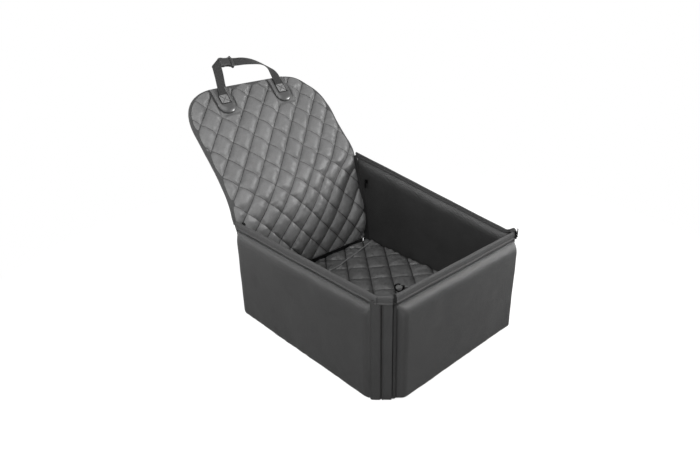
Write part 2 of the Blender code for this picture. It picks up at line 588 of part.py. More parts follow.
# Tether: webbing sewn to the floor, with a swivel hook that stands on its edge
def build_tether():
    frame = frame_at("tether_hook_swivel", (HOOK_X, HOOK_Y, FLOOR_TOP + GAP + HOOK_RING + HOOK_WIRE), (0, 0, HOOK_TURN))
    pin_hole, shoulder = 0.0020, 0.0040
    wide, near = TETHER_WIDTH / 2 + 0.0022, -0.0238
    loop = [(near, wide, 0), (EYE_FAR, wide, 0), (EYE_FAR, -wide, 0), (near, -wide, 0)]
    eye = add("hook_swivel_eye", tube_mesh("eye", loop, 0.0015, closed=True), "dark_metal", frame)
    barrel = cylinder_mesh("eye_barrel", shoulder, (-0.0246, 0, 0), (-0.0180, 0, 0))
    cut(eye, add("eye_barrel", barrel, parent=frame, group=cutters), "UNION")
    bore = cylinder_mesh("eye_bore", pin_hole, (-0.0290, 0, 0), (-0.0100, 0, 0))
    cut(eye, add("eye_bore", bore, parent=frame, group=cutters))

    nose, root = math.radians(112), math.radians(180)
    steps = 18
    arc = [(HOOK_RING * math.cos(root + (nose + 2 * math.pi - root) * k / steps), 0,
            HOOK_RING * math.sin(root + (nose + 2 * math.pi - root) * k / steps)) for k in range(steps + 1)]
    body = add("hook_body", tube_mesh("hook", arc, HOOK_WIRE), "dark_metal", frame)
    stem = cylinder_mesh("hook_stem", pin_hole - 0.0004, (-0.0272, 0, 0), (-HOOK_RING, 0, 0))
    head = cylinder_mesh("hook_head", 0.0031, (-0.0266, 0, 0), (-0.0250, 0, 0))
    neck = cylinder_mesh("hook_neck", 0.0036, (-0.0174, 0, 0), (-HOOK_RING + 0.0008, 0, 0))
    ears = block_mesh("hook_ears", (-0.0142, -0.0034, 0.0012), (-0.0098, 0.0034, 0.0074))
    for mesh in (stem, head, neck, ears):
        cut(body, add(mesh.name, mesh, parent=frame, group=cutters), "UNION")
    slot = block_mesh("hook_gate_slot", (-0.0152, -0.0022, 0.0026), (-0.0060, 0.0022, 0.0090))
    cut(body, add("hook_gate_slot", slot, parent=frame, group=cutters))
    pivot = Vector((-0.0120, 0, 0.0052))
    bore = cylinder_mesh("gate_pin_bore", 0.0010, pivot + Vector((0, -0.01, 0)), pivot + Vector((0, 0.01, 0)), 12)
    cut(body, add("gate_pin_bore", bore, parent=frame, group=cutters))
    add("hook_gate_pin", cylinder_mesh("hook_gate_pin", 0.0007, pivot + Vector((0, -0.0036, 0)),
                                       pivot + Vector((0, 0.0036, 0)), 12), "dark_metal", frame)
    gate_frame = frame_at("hook_gate_hinge", pivot, parent=frame)
    tip = Vector((HOOK_RING * math.cos(nose), 0, HOOK_RING * math.sin(nose))) - pivot
    lever = tip.normalized()
    gate = add("hook_gate", cylinder_mesh("gate_barrel", 0.0019, (0, -0.0018, 0), (0, 0.0018, 0), 12, hole=0.0010),
               "dark_metal", gate_frame)
    bar = cylinder_mesh("gate_bar", 0.0012, lever * 0.0015, tip - lever * 0.0028, 12)
    cut(gate, add("gate_bar", bar, parent=gate_frame, group=cutters), "UNION")

    route = smooth_route(TETHER_ROUTE, 3)
    halves = []
    for index in range(len(route)):
        along = (route[min(index + 1, len(route) - 1)] - route[max(index - 1, 0)]).normalized()
        halves.append(Vector((-along.y, along.x, 0)).normalized() * TETHER_WIDTH / 2)
    thicken(add("tether_webbing", strap_mesh("tether", route, halves), "webbing"), TETHER_THICKNESS)
    end = route[-1]
    block("tether_anchor", (end.x - 0.0225, end.y - 0.0100, FLOOR_TOP + GAP), (end.x - GAP, end.y + 0.0100, FLOOR_TOP + 0.0022),
          "webbing")


build_base()
build_side_wall("left", 1)
build_side_wall("right", -1)
build_front_wall()
build_lower_back()
upper_back = build_upper_back()
build_patches(upper_back)
build_headrest_strap(upper_back)
build_tether()
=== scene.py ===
"""Looks of the dog car seat: soft pads, quilting, webbing, finishes, light and camera.

Metres, in the part's own frame. Wall coordinates are (forward, deep, z): forward towards the open
front along a side wall (or +X along the front wall), deep inwards from the wall's outer plane.
Back coordinates are (x, s, h): s up the back along its front face from the fold, h out of that face.
"""
import math

import bpy
import numpy as np
from mathutils import Matrix, Vector


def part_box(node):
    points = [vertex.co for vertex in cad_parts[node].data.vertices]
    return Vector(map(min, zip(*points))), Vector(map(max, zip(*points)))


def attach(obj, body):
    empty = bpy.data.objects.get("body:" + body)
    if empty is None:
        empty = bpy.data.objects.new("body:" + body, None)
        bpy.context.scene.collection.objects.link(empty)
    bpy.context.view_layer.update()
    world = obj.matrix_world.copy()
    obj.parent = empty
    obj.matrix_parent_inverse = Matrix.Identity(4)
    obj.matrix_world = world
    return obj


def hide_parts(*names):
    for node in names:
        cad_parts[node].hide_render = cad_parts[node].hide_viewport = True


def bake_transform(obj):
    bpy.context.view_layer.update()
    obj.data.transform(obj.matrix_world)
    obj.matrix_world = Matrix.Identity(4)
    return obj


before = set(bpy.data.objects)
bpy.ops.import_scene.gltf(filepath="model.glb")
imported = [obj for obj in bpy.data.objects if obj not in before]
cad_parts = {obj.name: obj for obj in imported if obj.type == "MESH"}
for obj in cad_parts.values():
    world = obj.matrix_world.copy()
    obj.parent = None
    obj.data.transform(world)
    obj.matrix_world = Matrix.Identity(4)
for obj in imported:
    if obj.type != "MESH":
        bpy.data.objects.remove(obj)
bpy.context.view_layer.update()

# Sizes from the frame
SHEET_LOW, SHEET_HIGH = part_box("base_cover")
LEFT_LOW, LEFT_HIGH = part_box("left_outer_pad")
PAD_LOW, PAD_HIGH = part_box("floor_quilt")
HALF_WIDTH = -LEFT_LOW[0]
FRONT_PLANE = -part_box("front_outer_pad")[0][1]
SIDE_FRONT = -LEFT_LOW[1]
SIDE_BACK = LEFT_HIGH[1]
CORNER = FRONT_PLANE - SIDE_FRONT
FOOT = LEFT_LOW[2]
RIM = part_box("left_rim_binding")[1][2]
PAD_TOP = LEFT_HIGH[2]
FLOOR_TOP = PAD_HIGH[2]
WALL = 0.0225            # a wall's thickness with its pads
BOARD_MIDDLE = 0.0088    # and how deep in it the middle of its board lies
SLANT = math.sqrt(0.5)   # sine and cosine of the front corners' slant
GROOVE = 0.0098          # width of the front zips' groove, at the slant's end
GROOVE_START = CORNER * math.sqrt(2) - GROOVE
GROOVE_CENTRE = GROOVE_START + 0.0039
CLOTH_TOP = RIM - 0.008  # the walls' cloth ends here, inside its binding
BACK_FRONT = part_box("lower_back_quilt")[0][1]
BACK_LEAN = math.radians(44)
BACK_LENGTH = 0.351
BACK_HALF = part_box("lower_back_quilt")[1][0]
BACK_TOP_HALF = 0.2135
BACK_CORNER = 0.118
BACK_CORNER_POWER = 2.4
PANEL = 0.012
FOLD_HEIGHT = 0.2595
PATCH_X = 0.0915
PATCH_LOW, PATCH_HIGH = 0.270, 0.346
PATCH_WIDTH = 0.052
STRAP_FOLD = 0.354
WEBBING, WEBBING_THICKNESS = 0.025, 0.0016

# Camera, at the photograph's viewing angle
PHOTO_WIDTH, SENSOR = 700, 36
FOCAL = 600
CAMERA_PLACE = (-0.9069, -0.9090, 0.8478)
YAW, PITCH, ROLL = math.radians(42.12), math.radians(25.71), math.radians(1.27)


def make_camera():
    data = bpy.data.cameras.new("camera")
    data.lens = FOCAL / PHOTO_WIDTH * SENSOR
    data.sensor_width = SENSOR
    data.clip_start = 0.01
    camera = bpy.data.objects.new("camera", data)
    bpy.context.scene.collection.objects.link(camera)
    view = Matrix.Translation(CAMERA_PLACE)
    for angle, axis in ((-YAW, "Z"), (math.pi / 2 - PITCH, "X"), (-ROLL, "Z")):
        view = view @ Matrix.Rotation(angle, 4, axis)
    camera.matrix_world = view
    bpy.context.scene.camera = camera


# Mesh tools
def pick_only(*objs):
    if bpy.context.object and bpy.context.object.mode != "OBJECT":
        bpy.ops.object.mode_set(mode="OBJECT")
    bpy.ops.object.select_all(action="DESELECT")
    for obj in objs:
        obj.select_set(True)
        bpy.context.view_layer.objects.active = obj


def points_of(obj):
    flat = np.empty(len(obj.data.vertices) * 3)
    obj.data.vertices.foreach_get("co", flat)
    return flat.reshape(-1, 3)


def move_points(obj, places):
    obj.data.vertices.foreach_set("co", np.ascontiguousarray(places, dtype=np.float32).ravel())
    obj.data.update()


def mark_seams(obj, seams):
    """Keeps each point's place in the pattern for the finish: a seam runs wherever a or b is whole."""
    for name, values in zip(("seam_a", "seam_b", "seam_depth"), seams):
        values = values if len(values) == len(obj.data.vertices) else np.concatenate([values, 0 * values])
        layer = obj.data.attributes.new(name, "FLOAT", "POINT")
        layer.data.foreach_set("value", np.ascontiguousarray(values, dtype=np.float32))


def lay_uv(obj, across, along):
    """The cloth's own coordinates in metres, so that its weave follows the surface."""
    layer = obj.data.uv_layers.active or obj.data.uv_layers.new(name="cloth")
    corner = np.empty(len(obj.data.loops), dtype=np.int32)
    obj.data.loops.foreach_get("vertex_index", corner)
    spots = np.stack([across[corner], along[corner]], axis=1)
    layer.data.foreach_set("uv", spots.astype(np.float32).ravel())


def apply_modifier(obj, kind, **settings):
    pick_only(obj)
    modifier = obj.modifiers.new(kind.lower(), kind)
    for name, value in settings.items():
        setattr(modifier, name, value)
    bpy.ops.object.modifier_apply(modifier=modifier.name)


def round_edges(obj, width, segments):
    """Rounds the edges at which faces meet sharply."""
    apply_modifier(obj, "BEVEL", width=width, segments=segments, limit_method="ANGLE",
                   angle_limit=math.radians(50))


def repeat(obj, count, step):
    apply_modifier(obj, "ARRAY", count=count, use_relative_offset=False, use_constant_offset=True,
                   constant_offset_displace=step)


def outward(obj, weld=False):
    """Turns the faces outwards; with weld, the points that meet are joined first."""
    pick_only(obj)
    bpy.ops.object.mode_set(mode="EDIT")
    bpy.ops.mesh.select_all(action="SELECT")
    if weld:
        bpy.ops.mesh.remove_doubles(threshold=0.00002)
    bpy.ops.mesh.normals_make_consistent(inside=False)
    bpy.ops.object.mode_set(mode="OBJECT")


def smooth(obj, angle=None):
    pick_only(obj)
    if angle is None:
        bpy.ops.object.shade_smooth()
    else:
        bpy.ops.object.shade_smooth_by_angle(angle=math.radians(angle))


def small_block(name, size, shift=(0, 0, 0)):
    """The start of a stitch, a tooth or an arm."""
    pick_only()
    bpy.ops.mesh.primitive_cube_add(size=1)
    obj = bpy.context.object
    obj.name = obj.data.name = name
    move_points(obj, points_of(obj) * np.array(size) + np.array(shift))
    return obj


def cloth_grid(name, columns, rows):
    """A flat grid and its own coordinates across and along, each 0 to 1."""
    pick_only()
    bpy.ops.mesh.primitive_grid_add(x_subdivisions=columns, y_subdivisions=rows, size=2)
    obj = bpy.context.object
    obj.name = obj.data.name = name
    spots = points_of(obj)
    return obj, (spots[:, 0] + 1) / 2, (spots[:, 1] + 1) / 2


def cloth_sheet(name, columns, rows, place, size, thickness=0.0):
    """One sheet of cloth, whose point at (across, along) lies at place(across, along)."""
    obj, across, along = cloth_grid(name, columns, rows)
    lay_uv(obj, across * size[0], along * size[1])
    move_points(obj, place(across, along))
    if thickness:
        apply_modifier(obj, "SOLIDIFY", thickness=thickness, offset=0, use_even_offset=False)
        outward(obj)
    smooth(obj, 50 if thickness else None)
    return obj


def closed_pad(name, columns, rows, front, back, size, seams=None):
    """A pad of two sheets that meet at its seam; front and back place their points.

    A quilted front also leaves in `seams` where each of its points lies in the pattern of seams.
    """
    obj, across, along = cloth_grid(name, columns, rows)
    lay_uv(obj, across * size[0], along * size[1])
    bpy.ops.object.mode_set(mode="EDIT")
    bpy.ops.mesh.select_all(action="SELECT")
    bpy.ops.mesh.duplicate()
    bpy.ops.mesh.flip_normals()
    bpy.ops.object.mode_set(mode="OBJECT")
    move_points(obj, np.vstack([front(across, along), back(across, along)]))
    if seams:
        mark_seams(obj, seams[0])
    outward(obj, weld=True)
    smooth(obj, 60)
    return obj


def rope(name, route, radius, sides=10):
    """A round cord along a route, closed to a point at both ends."""
    route = np.array(route)
    run = lengths_along(route)
    ahead = np.gradient(route, axis=0)
    sideways = unit(np.cross(ahead, (0.0, 0.0, 1.0)))
    above = unit(np.cross(sideways, ahead))
    obj, across, along = cloth_grid(name, sides, max(int(run[-1] / (radius * 1.6)), 6))
    at = along * run[-1]
    spot, side, up = (at_length(at, run, way) for way in (route, sideways, above))
    thick = radius * shoulder(np.minimum(at, run[-1] - at), radius)[:, None]
    turn = across[:, None] * 2 * math.pi
    lay_uv(obj, across * 2 * math.pi * radius, at)
    move_points(obj, spot + thick * (side * np.cos(turn) + up * np.sin(turn)))
    outward(obj, weld=True)
    smooth(obj)
    return obj


def stitches(name, length, place, pitch=0.0045, width=0.0008):
    """A row of thread stitches; place takes (sideways, along, out) to the part's frame."""
    row = small_block(name, (width, pitch * 0.66, width * 0.8))
    apply_modifier(row, "BEVEL", width=width * 0.28, segments=1)
    repeat(row, int(length / pitch) - 1, (0, pitch, 0))
    spots = points_of(row)
    lay_uv(row, spots[:, 0], spots[:, 1])
    move_points(row, place(spots[:, 0], spots[:, 1] + pitch, spots[:, 2]))
    outward(row)
    smooth(row, 40)
    return row


# Soft shapes
def ease(t):
    t = np.clip(t, 0, 1)
    return t * t * (3 - 2 * t)


def shoulder(distance, radius):
    """Rounded rise from 0 at a seam to 1 at the given distance from it."""
    t = np.clip(distance / radius, 0, 1)
    return np.sqrt(1 - (1 - t) ** 2)


def hump(distance, width):
    """1 along a line, fading to 0 on both sides of it."""
    return np.exp(-(distance / width) ** 2)


def to_edge(t):
    """How far t, from 0 to 1, is from the nearer end."""
    return np.minimum(t, 1 - t)


def unit(vectors):
    return vectors / np.linalg.norm(vectors, axis=1)[:, None]


def lengths_along(route):
    return np.concatenate([[0], np.cumsum(np.linalg.norm(np.diff(route, axis=0), axis=1))])


def at_length(at, run, points):
    """The points of a route at the given lengths along it."""
    return np.stack([np.interp(at, run, column) for column in points.T], axis=1)


def table_of(seed):
    return np.random.default_rng(seed).uniform(-1, 1, (64, 64))


def unevenness(x, y, seed, size):
    """Smooth bumps between -1 and 1, about `size` apart, the same each run."""
    table = table_of(seed)
    fx, fy = x / size, y / size
    ix, iy = np.floor(fx).astype(int), np.floor(fy).astype(int)
    tx, ty = ease(fx - ix), ease(fy - iy)
    at = lambda i, j: table[i & 63, j & 63]
    low = at(ix, iy) * (1 - tx) + at(ix + 1, iy) * tx
    high = at(ix, iy + 1) * (1 - tx) + at(ix + 1, iy + 1) * tx
    return low * (1 - ty) + high * ty


SEAM_PULL, SEAM_WIDTHS = 0.0007, (0.0016, 0.0014)
PUCKER, PUCKER_REACH = 0.0085, 0.010
WANDER = 0.035           # how far the seams stray, in spacings
UNLIKE = 0.14            # how much one puff's height differs from the next one's
TILT = 0.20


def quilting(x, s, lattice, depth, seed, steep=2.4):
    """Height of quilted cloth over its flat pattern, and each point's place in that pattern.

    The first family's lines are pulled in deep, the second's only dimple the puffs.
    """
    origin, step_a, step_b = lattice
    spread = step_a[0] * step_b[1] - step_a[1] * step_b[0]
    dx, ds = x - origin[0], s - origin[1]
    a = (dx * step_b[1] - ds * step_b[0]) / spread
    b = (ds * step_a[0] - dx * step_a[1]) / spread
    a = a + WANDER * unevenness(x, s, seed, 0.11)
    b = b + WANDER * unevenness(x, s, seed + 1, 0.13)
    cell_a, cell_b = np.floor(a), np.floor(b)
    fa, fb = a - cell_a, b - cell_b
    size_a, size_b = math.hypot(*step_a), math.hypot(*step_b)
    near_a, near_b = to_edge(fa) * size_a, to_edge(fb) * size_b
    ia, ib = cell_a.astype(int) & 63, cell_b.astype(int) & 63
    plump = 1 + UNLIKE * table_of(seed + 2)[ia, ib]
    tilt = TILT * (table_of(seed + 3)[ia, ib] * (fa - 0.5) + table_of(seed + 4)[ia, ib] * (fb - 0.5))
    # Puffs, then the stitched lines pulled in between them
    swell_a, swell_b = 1 - np.abs(2 * fa - 1) ** steep, 1 - np.abs(2 * fb - 1) ** 5
    swell = swell_a * (0.42 + 0.58 * swell_b)
    height = depth * swell * (plump + tilt)
    height -= SEAM_PULL * (hump(near_a, SEAM_WIDTHS[0]) + 0.8 * hump(near_b, SEAM_WIDTHS[1]))
    # Puckers along the seams, liveliest where two of them cross
    pucker_a = unevenness(b * size_b, near_a * 0.5 + cell_a * 0.37, seed + 5, PUCKER)
    pucker_b = unevenness(a * size_a, near_b * 0.5 + cell_b * 0.41, seed + 6, PUCKER)
    fade = lambda near: np.exp(-near / PUCKER_REACH) * (1 - np.exp(-near / SEAM_WIDTHS[0]))
    crossing = hump(np.hypot(near_a, near_b), 0.012)
    lively = (0.30 + 0.42 * crossing) * depth * np.sqrt(np.clip(swell, 0, 1) + 0.05)
    height += lively * (pucker_a * fade(near_a) + pucker_b * fade(near_b))
    height += 0.10 * depth * unevenness(x, s, seed + 7, 0.016) * swell
    return height, a, b


# Shader tools
class Signal:
    """A shader socket; arithmetic on it adds Math nodes."""

    def __init__(self, nodes, socket):
        self.nodes, self.socket = nodes, socket

    def maths(self, operation, first, second):
        return self.nodes.node("ShaderNodeMath", {"operation": operation}, {0: first, 1: second})

    def __add__(self, other):
        return self.maths("ADD", self, other)

    def __radd__(self, other):
        return self.maths("ADD", other, self)

    def __sub__(self, other):
        return self.maths("SUBTRACT", self, other)

    def __rsub__(self, other):
        return self.maths("SUBTRACT", other, self)

    def __mul__(self, other):
        return self.maths("MULTIPLY", self, other)

    def __rmul__(self, other):
        return self.maths("MULTIPLY", other, self)

    def __pow__(self, other):
        return self.maths("POWER", self, other)


class Nodes:
    """A node tree of a material or the world."""

    def __init__(self, owner, empty=False):
        owner.use_nodes = True
        self.tree = owner.node_tree
        if empty:
            self.tree.nodes.clear()

    def node(self, kind, settings, values, output=0):
        made = self.tree.nodes.new(kind)
        for name, value in settings.items():
            if name == "stops":
                for stop, (position, level) in zip(made.color_ramp.elements, value):
                    stop.position, stop.color = position, (level, level, level, 1)
            else:
                setattr(made, name, value)
        for socket, value in values.items():
            if isinstance(value, Signal):
                self.tree.links.new(value.socket, made.inputs[socket])
            else:
                made.inputs[socket].default_value = value
        return Signal(self, made.outputs[output])

    def surface(self, kind, shader):
        self.tree.links.new(shader.socket, self.tree.nodes.new(kind).inputs["Surface"])


class Finish(Nodes):
    """A material with one Principled shader, and the nodes that vary it."""

    def __init__(self, name, roughness, metallic=0.0, **uniform):
        self.material = bpy.data.materials.new(name)
        super().__init__(self.material)
        self.shader = self.tree.nodes["Principled BSDF"]
        self.shader.inputs["Roughness"].default_value = roughness
        self.shader.inputs["Metallic"].default_value = metallic
        for socket, value in uniform.items():
            self.shader.inputs[socket.replace("_", " ")].default_value = value

    def feed(self, socket, signal):
        self.tree.links.new(signal.socket, self.shader.inputs[socket])

    def place(self, output="Object"):
        return self.node("ShaderNodeTexCoord", {}, {}, output)

    def axis(self, vector, output):
        return self.node("ShaderNodeSeparateXYZ", {}, {0: vector}, output)

    def noise(self, scale, detail=2.0, vector=None, stretch=None):
        vector = vector or self.place()
        if stretch:
            vector = self.node("ShaderNodeMapping", {}, {"Vector": vector, "Scale": stretch})
        return self.node("ShaderNodeTexNoise", {}, {"Vector": vector, "Scale": scale, "Detail": detail})

    def wave(self, signal, pitch):
        """0 to 1 and back, once each pitch."""
        turn = self.node("ShaderNodeMath", {"operation": "SINE"}, {0: signal * (2 * math.pi / pitch)})
        return turn * 0.5 + 0.5

    def attribute(self, name):
        return self.node("ShaderNodeAttribute", {"attribute_name": name}, {}, "Fac")

    def from_seam(self, name):
        """How far a point lies from that family's nearest seam, 0 to 0.5 of their spacing."""
        return self.node("ShaderNodeMath", {"operation": "PINGPONG"}, {0: self.attribute(name), 1: 0.5})

    def seam(self, width=0.044):
        """1 along the stitched seams, 0 between them."""
        lines = []
        for name, share in (("seam_a", 1.0), ("seam_b", 0.75)):
            lines.append(self.node("ShaderNodeMath", {"operation": "SUBTRACT", "use_clamp": True},
                                   {0: 1.0, 1: self.from_seam(name) * (1 / (width * share))}) * share)
        return lines[0].maths("MAXIMUM", lines[0], lines[1]) * self.attribute("seam_depth")

    def swell(self):
        """Rise of the puffs between the seams, 0 to 1."""
        rise = [1 - (1 - self.from_seam(name) * 2) ** 3 for name in ("seam_a", "seam_b")]
        return (rise[0] * 0.65 + rise[1] * 0.35) * self.attribute("seam_depth")

    def tint(self, factor, dark, light):
        mix = self.node("ShaderNodeMix", {"data_type": "RGBA", "clamp_factor": False},
                        {0: factor, 6: (*dark, 1), 7: (*light, 1)}, 2)
        self.feed("Base Color", mix)

    def relief(self, height, distance, strength=1.0):
        values = {"Height": height, "Distance": distance, "Strength": strength}
        self.feed("Normal", self.node("ShaderNodeBump", {}, values))


def grey(level):
    return level, level, level


def woven(name, dark, light, roughness, pitch, weave_depth, crinkle, quilted=False, **uniform):
    """Plain-woven cloth: over-and-under threads, soft creases and a little unevenness of tone."""
    finish = Finish(name, roughness, **uniform)
    cloth = finish.place("UV")
    across, along = finish.axis(cloth, "X"), finish.axis(cloth, "Y")
    threads = finish.wave(across, pitch) * finish.wave(along, pitch) + \
        (1 - finish.wave(across, pitch)) * (1 - finish.wave(along, pitch))
    cloudy = finish.noise(11, 4)
    fine = finish.noise(300, 3)
    creases = finish.noise(70, 4)
    tone = cloudy * 0.5 + fine * 0.55 + threads * 0.1 - 0.08
    if quilted:   # the seams lie in shadow, darker than the cloth's own dark tone
        seam = finish.seam()
        tone = tone * (1 - seam) - seam * 0.85
    finish.tint(tone, dark, light)
    finish.feed("Roughness", roughness - 0.06 + cloudy * 0.12)
    height = threads * weave_depth + creases * crinkle + fine * (weave_depth * 0.8)
    finish.relief(height + finish.swell() * 3.2 if quilted else height, 0.001)
    return finish.material


def ribbed(name, dark, light, pitch, depth):
    """Webbing: ribs along its length, crossed by fine weft."""
    finish = Finish(name, 0.62, Sheen_Weight=0.05, Sheen_Roughness=0.4, Specular_IOR_Level=0.35)
    cloth = finish.place("UV")
    across, along = finish.axis(cloth, "X"), finish.axis(cloth, "Y")
    ribs = finish.wave(across, pitch)
    weft = finish.wave(along, pitch * 0.55)
    fuzz = finish.noise(600, 2)
    cloudy = finish.noise(30, 2)
    finish.tint(ribs * 0.45 + weft * 0.2 + fuzz * 0.2 + cloudy * 0.15, dark, light)
    finish.feed("Roughness", 0.55 + fuzz * 0.15)
    finish.relief(ribs * depth + weft * (depth * 0.5) + fuzz * (depth * 0.4), 0.001)
    return finish.material


def moulded(name, dark, light, roughness, grain, coat=0.0, crossed=False):
    """Moulded plastic: fine grain, faint flow marks, rubbed edges; plain or crossed with painted shade
    along X grooves.
    """
    finish = Finish(name, roughness, Coat_Roughness=0.2)
    finish.shader.inputs["Coat Weight"].default_value = coat
    fine = finish.noise(1400, 2)
    flow = finish.noise(60, 3, stretch=(1, 1, 3))
    point = finish.node("ShaderNodeNewGeometry", {}, {}, "Pointiness")
    worn = finish.node("ShaderNodeValToRGB", {"stops": [(0.50, 0.0), (0.62, 1.0)]}, {0: point})
    tone = flow * 0.5 + worn * 0.4
    # Crossed: the dark X lines are painted shade in the plate's grooves
    finish.tint(tone - finish.seam(0.07) * 1.4 if crossed else tone, dark, light)
    finish.feed("Roughness", roughness - 0.04 + flow * 0.08 + fine * 0.05)
    finish.relief(fine * grain + flow * (grain * 0.6), 0.001)
    return finish.material


def metal(name, dark, light, roughness):
    """Plated metal with faint brush marks and handling wear."""
    finish = Finish(name, roughness, 1.0)
    brush = finish.noise(500, 2, stretch=(1, 1, 6))
    wear = finish.noise(140, 4)
    finish.tint(wear * 0.7 + brush * 0.3, dark, light)
    finish.feed("Roughness", roughness - 0.08 + wear * 0.2)
    finish.relief(brush * 0.03 + wear * 0.04, 0.001)
    return finish.material


def foamed(name, dark, light):
    """Open-cell foam."""
    finish = Finish(name, 0.95)
    cells = finish.node("ShaderNodeTexVoronoi", {}, {"Vector": finish.place(), "Scale": 700.0}, "Distance")
    finish.tint(cells, dark, light)
    finish.relief(cells * 0.4, 0.001)
    return finish.material


def fibre_board(name, dark, light):
    finish = Finish(name, 0.7)
    flecks = finish.noise(300, 4, stretch=(1, 1, 4))
    finish.tint(flecks, dark, light)
    finish.feed("Roughness", 0.62 + flecks * 0.15)
    finish.relief(flecks * 0.15, 0.001)
    return finish.material


# Each with its darkest and its lightest tone
FINISHES = {
    "wall_cloth": woven("wall_cloth", grey(0.008), grey(0.032), 0.38, 0.0009, 0.14, 0.20,
                        Specular_IOR_Level=0.46, Sheen_Weight=0.06, Sheen_Roughness=0.35),
    "quilt_satin": woven("quilt_satin", grey(0.076), grey(0.186), 0.38, 0.0008, 0.08, 0.30, quilted=True,
                         Specular_IOR_Level=0.40, Sheen_Weight=0.06, Sheen_Roughness=0.3),
    "floor_satin": woven("floor_satin", grey(0.055), grey(0.135), 0.34, 0.0008, 0.08, 0.38, quilted=True,
                         Specular_IOR_Level=0.6),
    "lining": woven("lining", grey(0.012), grey(0.022), 0.70, 0.0012, 0.22, 0.10, Specular_IOR_Level=0.3),
    "binding": ribbed("binding", grey(0.026), grey(0.062), 0.0011, 0.18),
    "webbing": ribbed("webbing", grey(0.006), grey(0.021), 0.0013, 0.24),
    "piping": ribbed("piping", grey(0.170), grey(0.260), 0.0010, 0.15),
    # A darker copy of the binding: painted shade for the far wall's rim
    "painted_shade_binding": ribbed("painted_shade_binding", grey(0.012), grey(0.034), 0.0011, 0.18),
    "zip_tape": woven("zip_tape", grey(0.006), grey(0.012), 0.7, 0.0007, 0.2, 0.05, Specular_IOR_Level=0.2),
    "zip_teeth": moulded("zip_teeth", grey(0.006), grey(0.014), 0.4, 0.03),
    "patch": moulded("patch", grey(0.030), grey(0.062), 0.30, 0.03, 0.35),
    "cross_plate": moulded("cross_plate", grey(0.130), grey(0.240), 0.34, 0.03, 0.2, crossed=True),
    "buckle": moulded("buckle", grey(0.010), grey(0.026), 0.36, 0.06),
    "metal": metal("metal", grey(0.010), grey(0.045), 0.32),
    "thread": ribbed("thread", grey(0.050), grey(0.100), 0.0008, 0.2),
    "foam": foamed("foam", grey(0.22), grey(0.32)),
    "board": fibre_board("board", grey(0.04), grey(0.075)),
}


def dress(obj, finish):
    obj.data.materials.clear()
    obj.data.materials.append(FINISHES[finish])


def settle(obj, finish, slot, body, *nodes, fill=None):
    """Gives a piece its finish, parents it to its body when that is a name (else fixes it in place) and
    hides the solids it stands for; slot is not used.
    """
    dress(obj, finish)
    if nodes:
        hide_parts(*nodes)
    if isinstance(body, str):
        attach(obj, body)
    else:
        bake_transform(obj)
    return obj


make_camera()

# Tether: flat webbing from its sewn end to the hook, on the route of its solid
TETHER_ROUTE = [
    (0.0683, -0.0607, 0.0700), (0.0729, -0.0690, 0.0658), (0.0786, -0.0798, 0.0612),
    (0.0841, -0.0925, 0.0593), (0.0889, -0.1072, 0.0592), (0.0905, -0.1235, 0.0592),
    (0.0860, -0.1401, 0.0592), (0.0747, -0.1539, 0.0592), (0.0580, -0.1629, 0.0592),
    (0.0383, -0.1676, 0.0592), (0.0179, -0.1702, 0.0592), (-0.0024, -0.1718, 0.0592),
    (-0.0227, -0.1723, 0.0592), (-0.0428, -0.1712, 0.0592), (-0.0627, -0.1705, 0.0592),
    (-0.0796, -0.1705, 0.0592),
]
TETHER_WIDTH, TETHER_THICKNESS = 0.015, 0.0014


def smooth_route(points, steps):
    """Points on a smooth curve through the given ones."""
    places = [np.array(p) for p in points]
    ends = [places[0] * 2 - places[1]] + places + [places[-1] * 2 - places[-2]]
    route = []
    for a, b, c, d in zip(ends, ends[1:], ends[2:], ends[3:]):
        for step in range(steps):
            t = step / steps
            bend = (2 * a - 5 * b + 4 * c - d) * t**2 + (3 * b - a - 3 * c + d) * t**3
            route.append(0.5 * (2 * b + (c - a) * t + bend))
    return np.array(route + [places[-1]])


def ribbon(name, route, halves, thickness, across_faces=8):
    """Flat webbing along a route; halves are the half-width vectors at its points."""
    run = lengths_along(route)
    width = 2 * np.linalg.norm(halves[0])

    def place(across, along):
        at = along * (len(route) - 1)
        low = np.clip(np.floor(at).astype(int), 0, len(route) - 2)
        t = (at - low)[:, None]
        centre = route[low] * (1 - t) + route[low + 1] * t
        half = halves[low] * (1 - t) + halves[low + 1] * t
        return centre + half * (2 * across - 1)[:, None]

    obj = cloth_sheet(name, across_faces, len(route) - 1, place, (width, run[-1]), thickness)
    round_edges(obj, thickness * 0.35, 2)
    smooth(obj, 60)
    return obj


def make_tether():
    route = smooth_route(TETHER_ROUTE, 4)[::-1].copy()
    ahead = np.gradient(route, axis=0)
    sideways = unit(np.stack([-ahead[:, 1], ahead[:, 0], np.zeros(len(ahead))], axis=1))
    obj = ribbon("tether_strap", route, sideways * TETHER_WIDTH / 2, TETHER_THICKNESS)
    tuple(route[0])
    float(lengths_along(route)[-1])
    settle(obj, "webbing", "webbing", "seat_base", "tether_webbing")


make_tether()


# Walls
RIM_TURN = 0.0165        # binding's reach down the wall
FAR_TURN = 0.0085        # and down the far wall's inside, where the cushion laps over it
WALL_FOOT = 0.0024       # soft feet of the walls, just above the base sheet
SEAM_DEEP = 0.0065       # where a pad's outer cloth is sewn down
REAR_REACH = 0.056       # far wall's rim runs on behind its board at the rear corner
REACH_FROM = 0.05        # from this y on
RIM_DIP = 0.0173         # that rim's lowest place lies so far down
RIM_CLIMB = 0.1442       # and from there it climbs so much for each metre to the rear
DIP_Y = -0.212           # where it is lowest, before the front corner
BINDING_HALF = 0.0036    # half the rim binding's thickness
TAPE_THICKNESS = 0.0009
RIM_ROLL = 0.026         # height over which a pad swells out below the rim


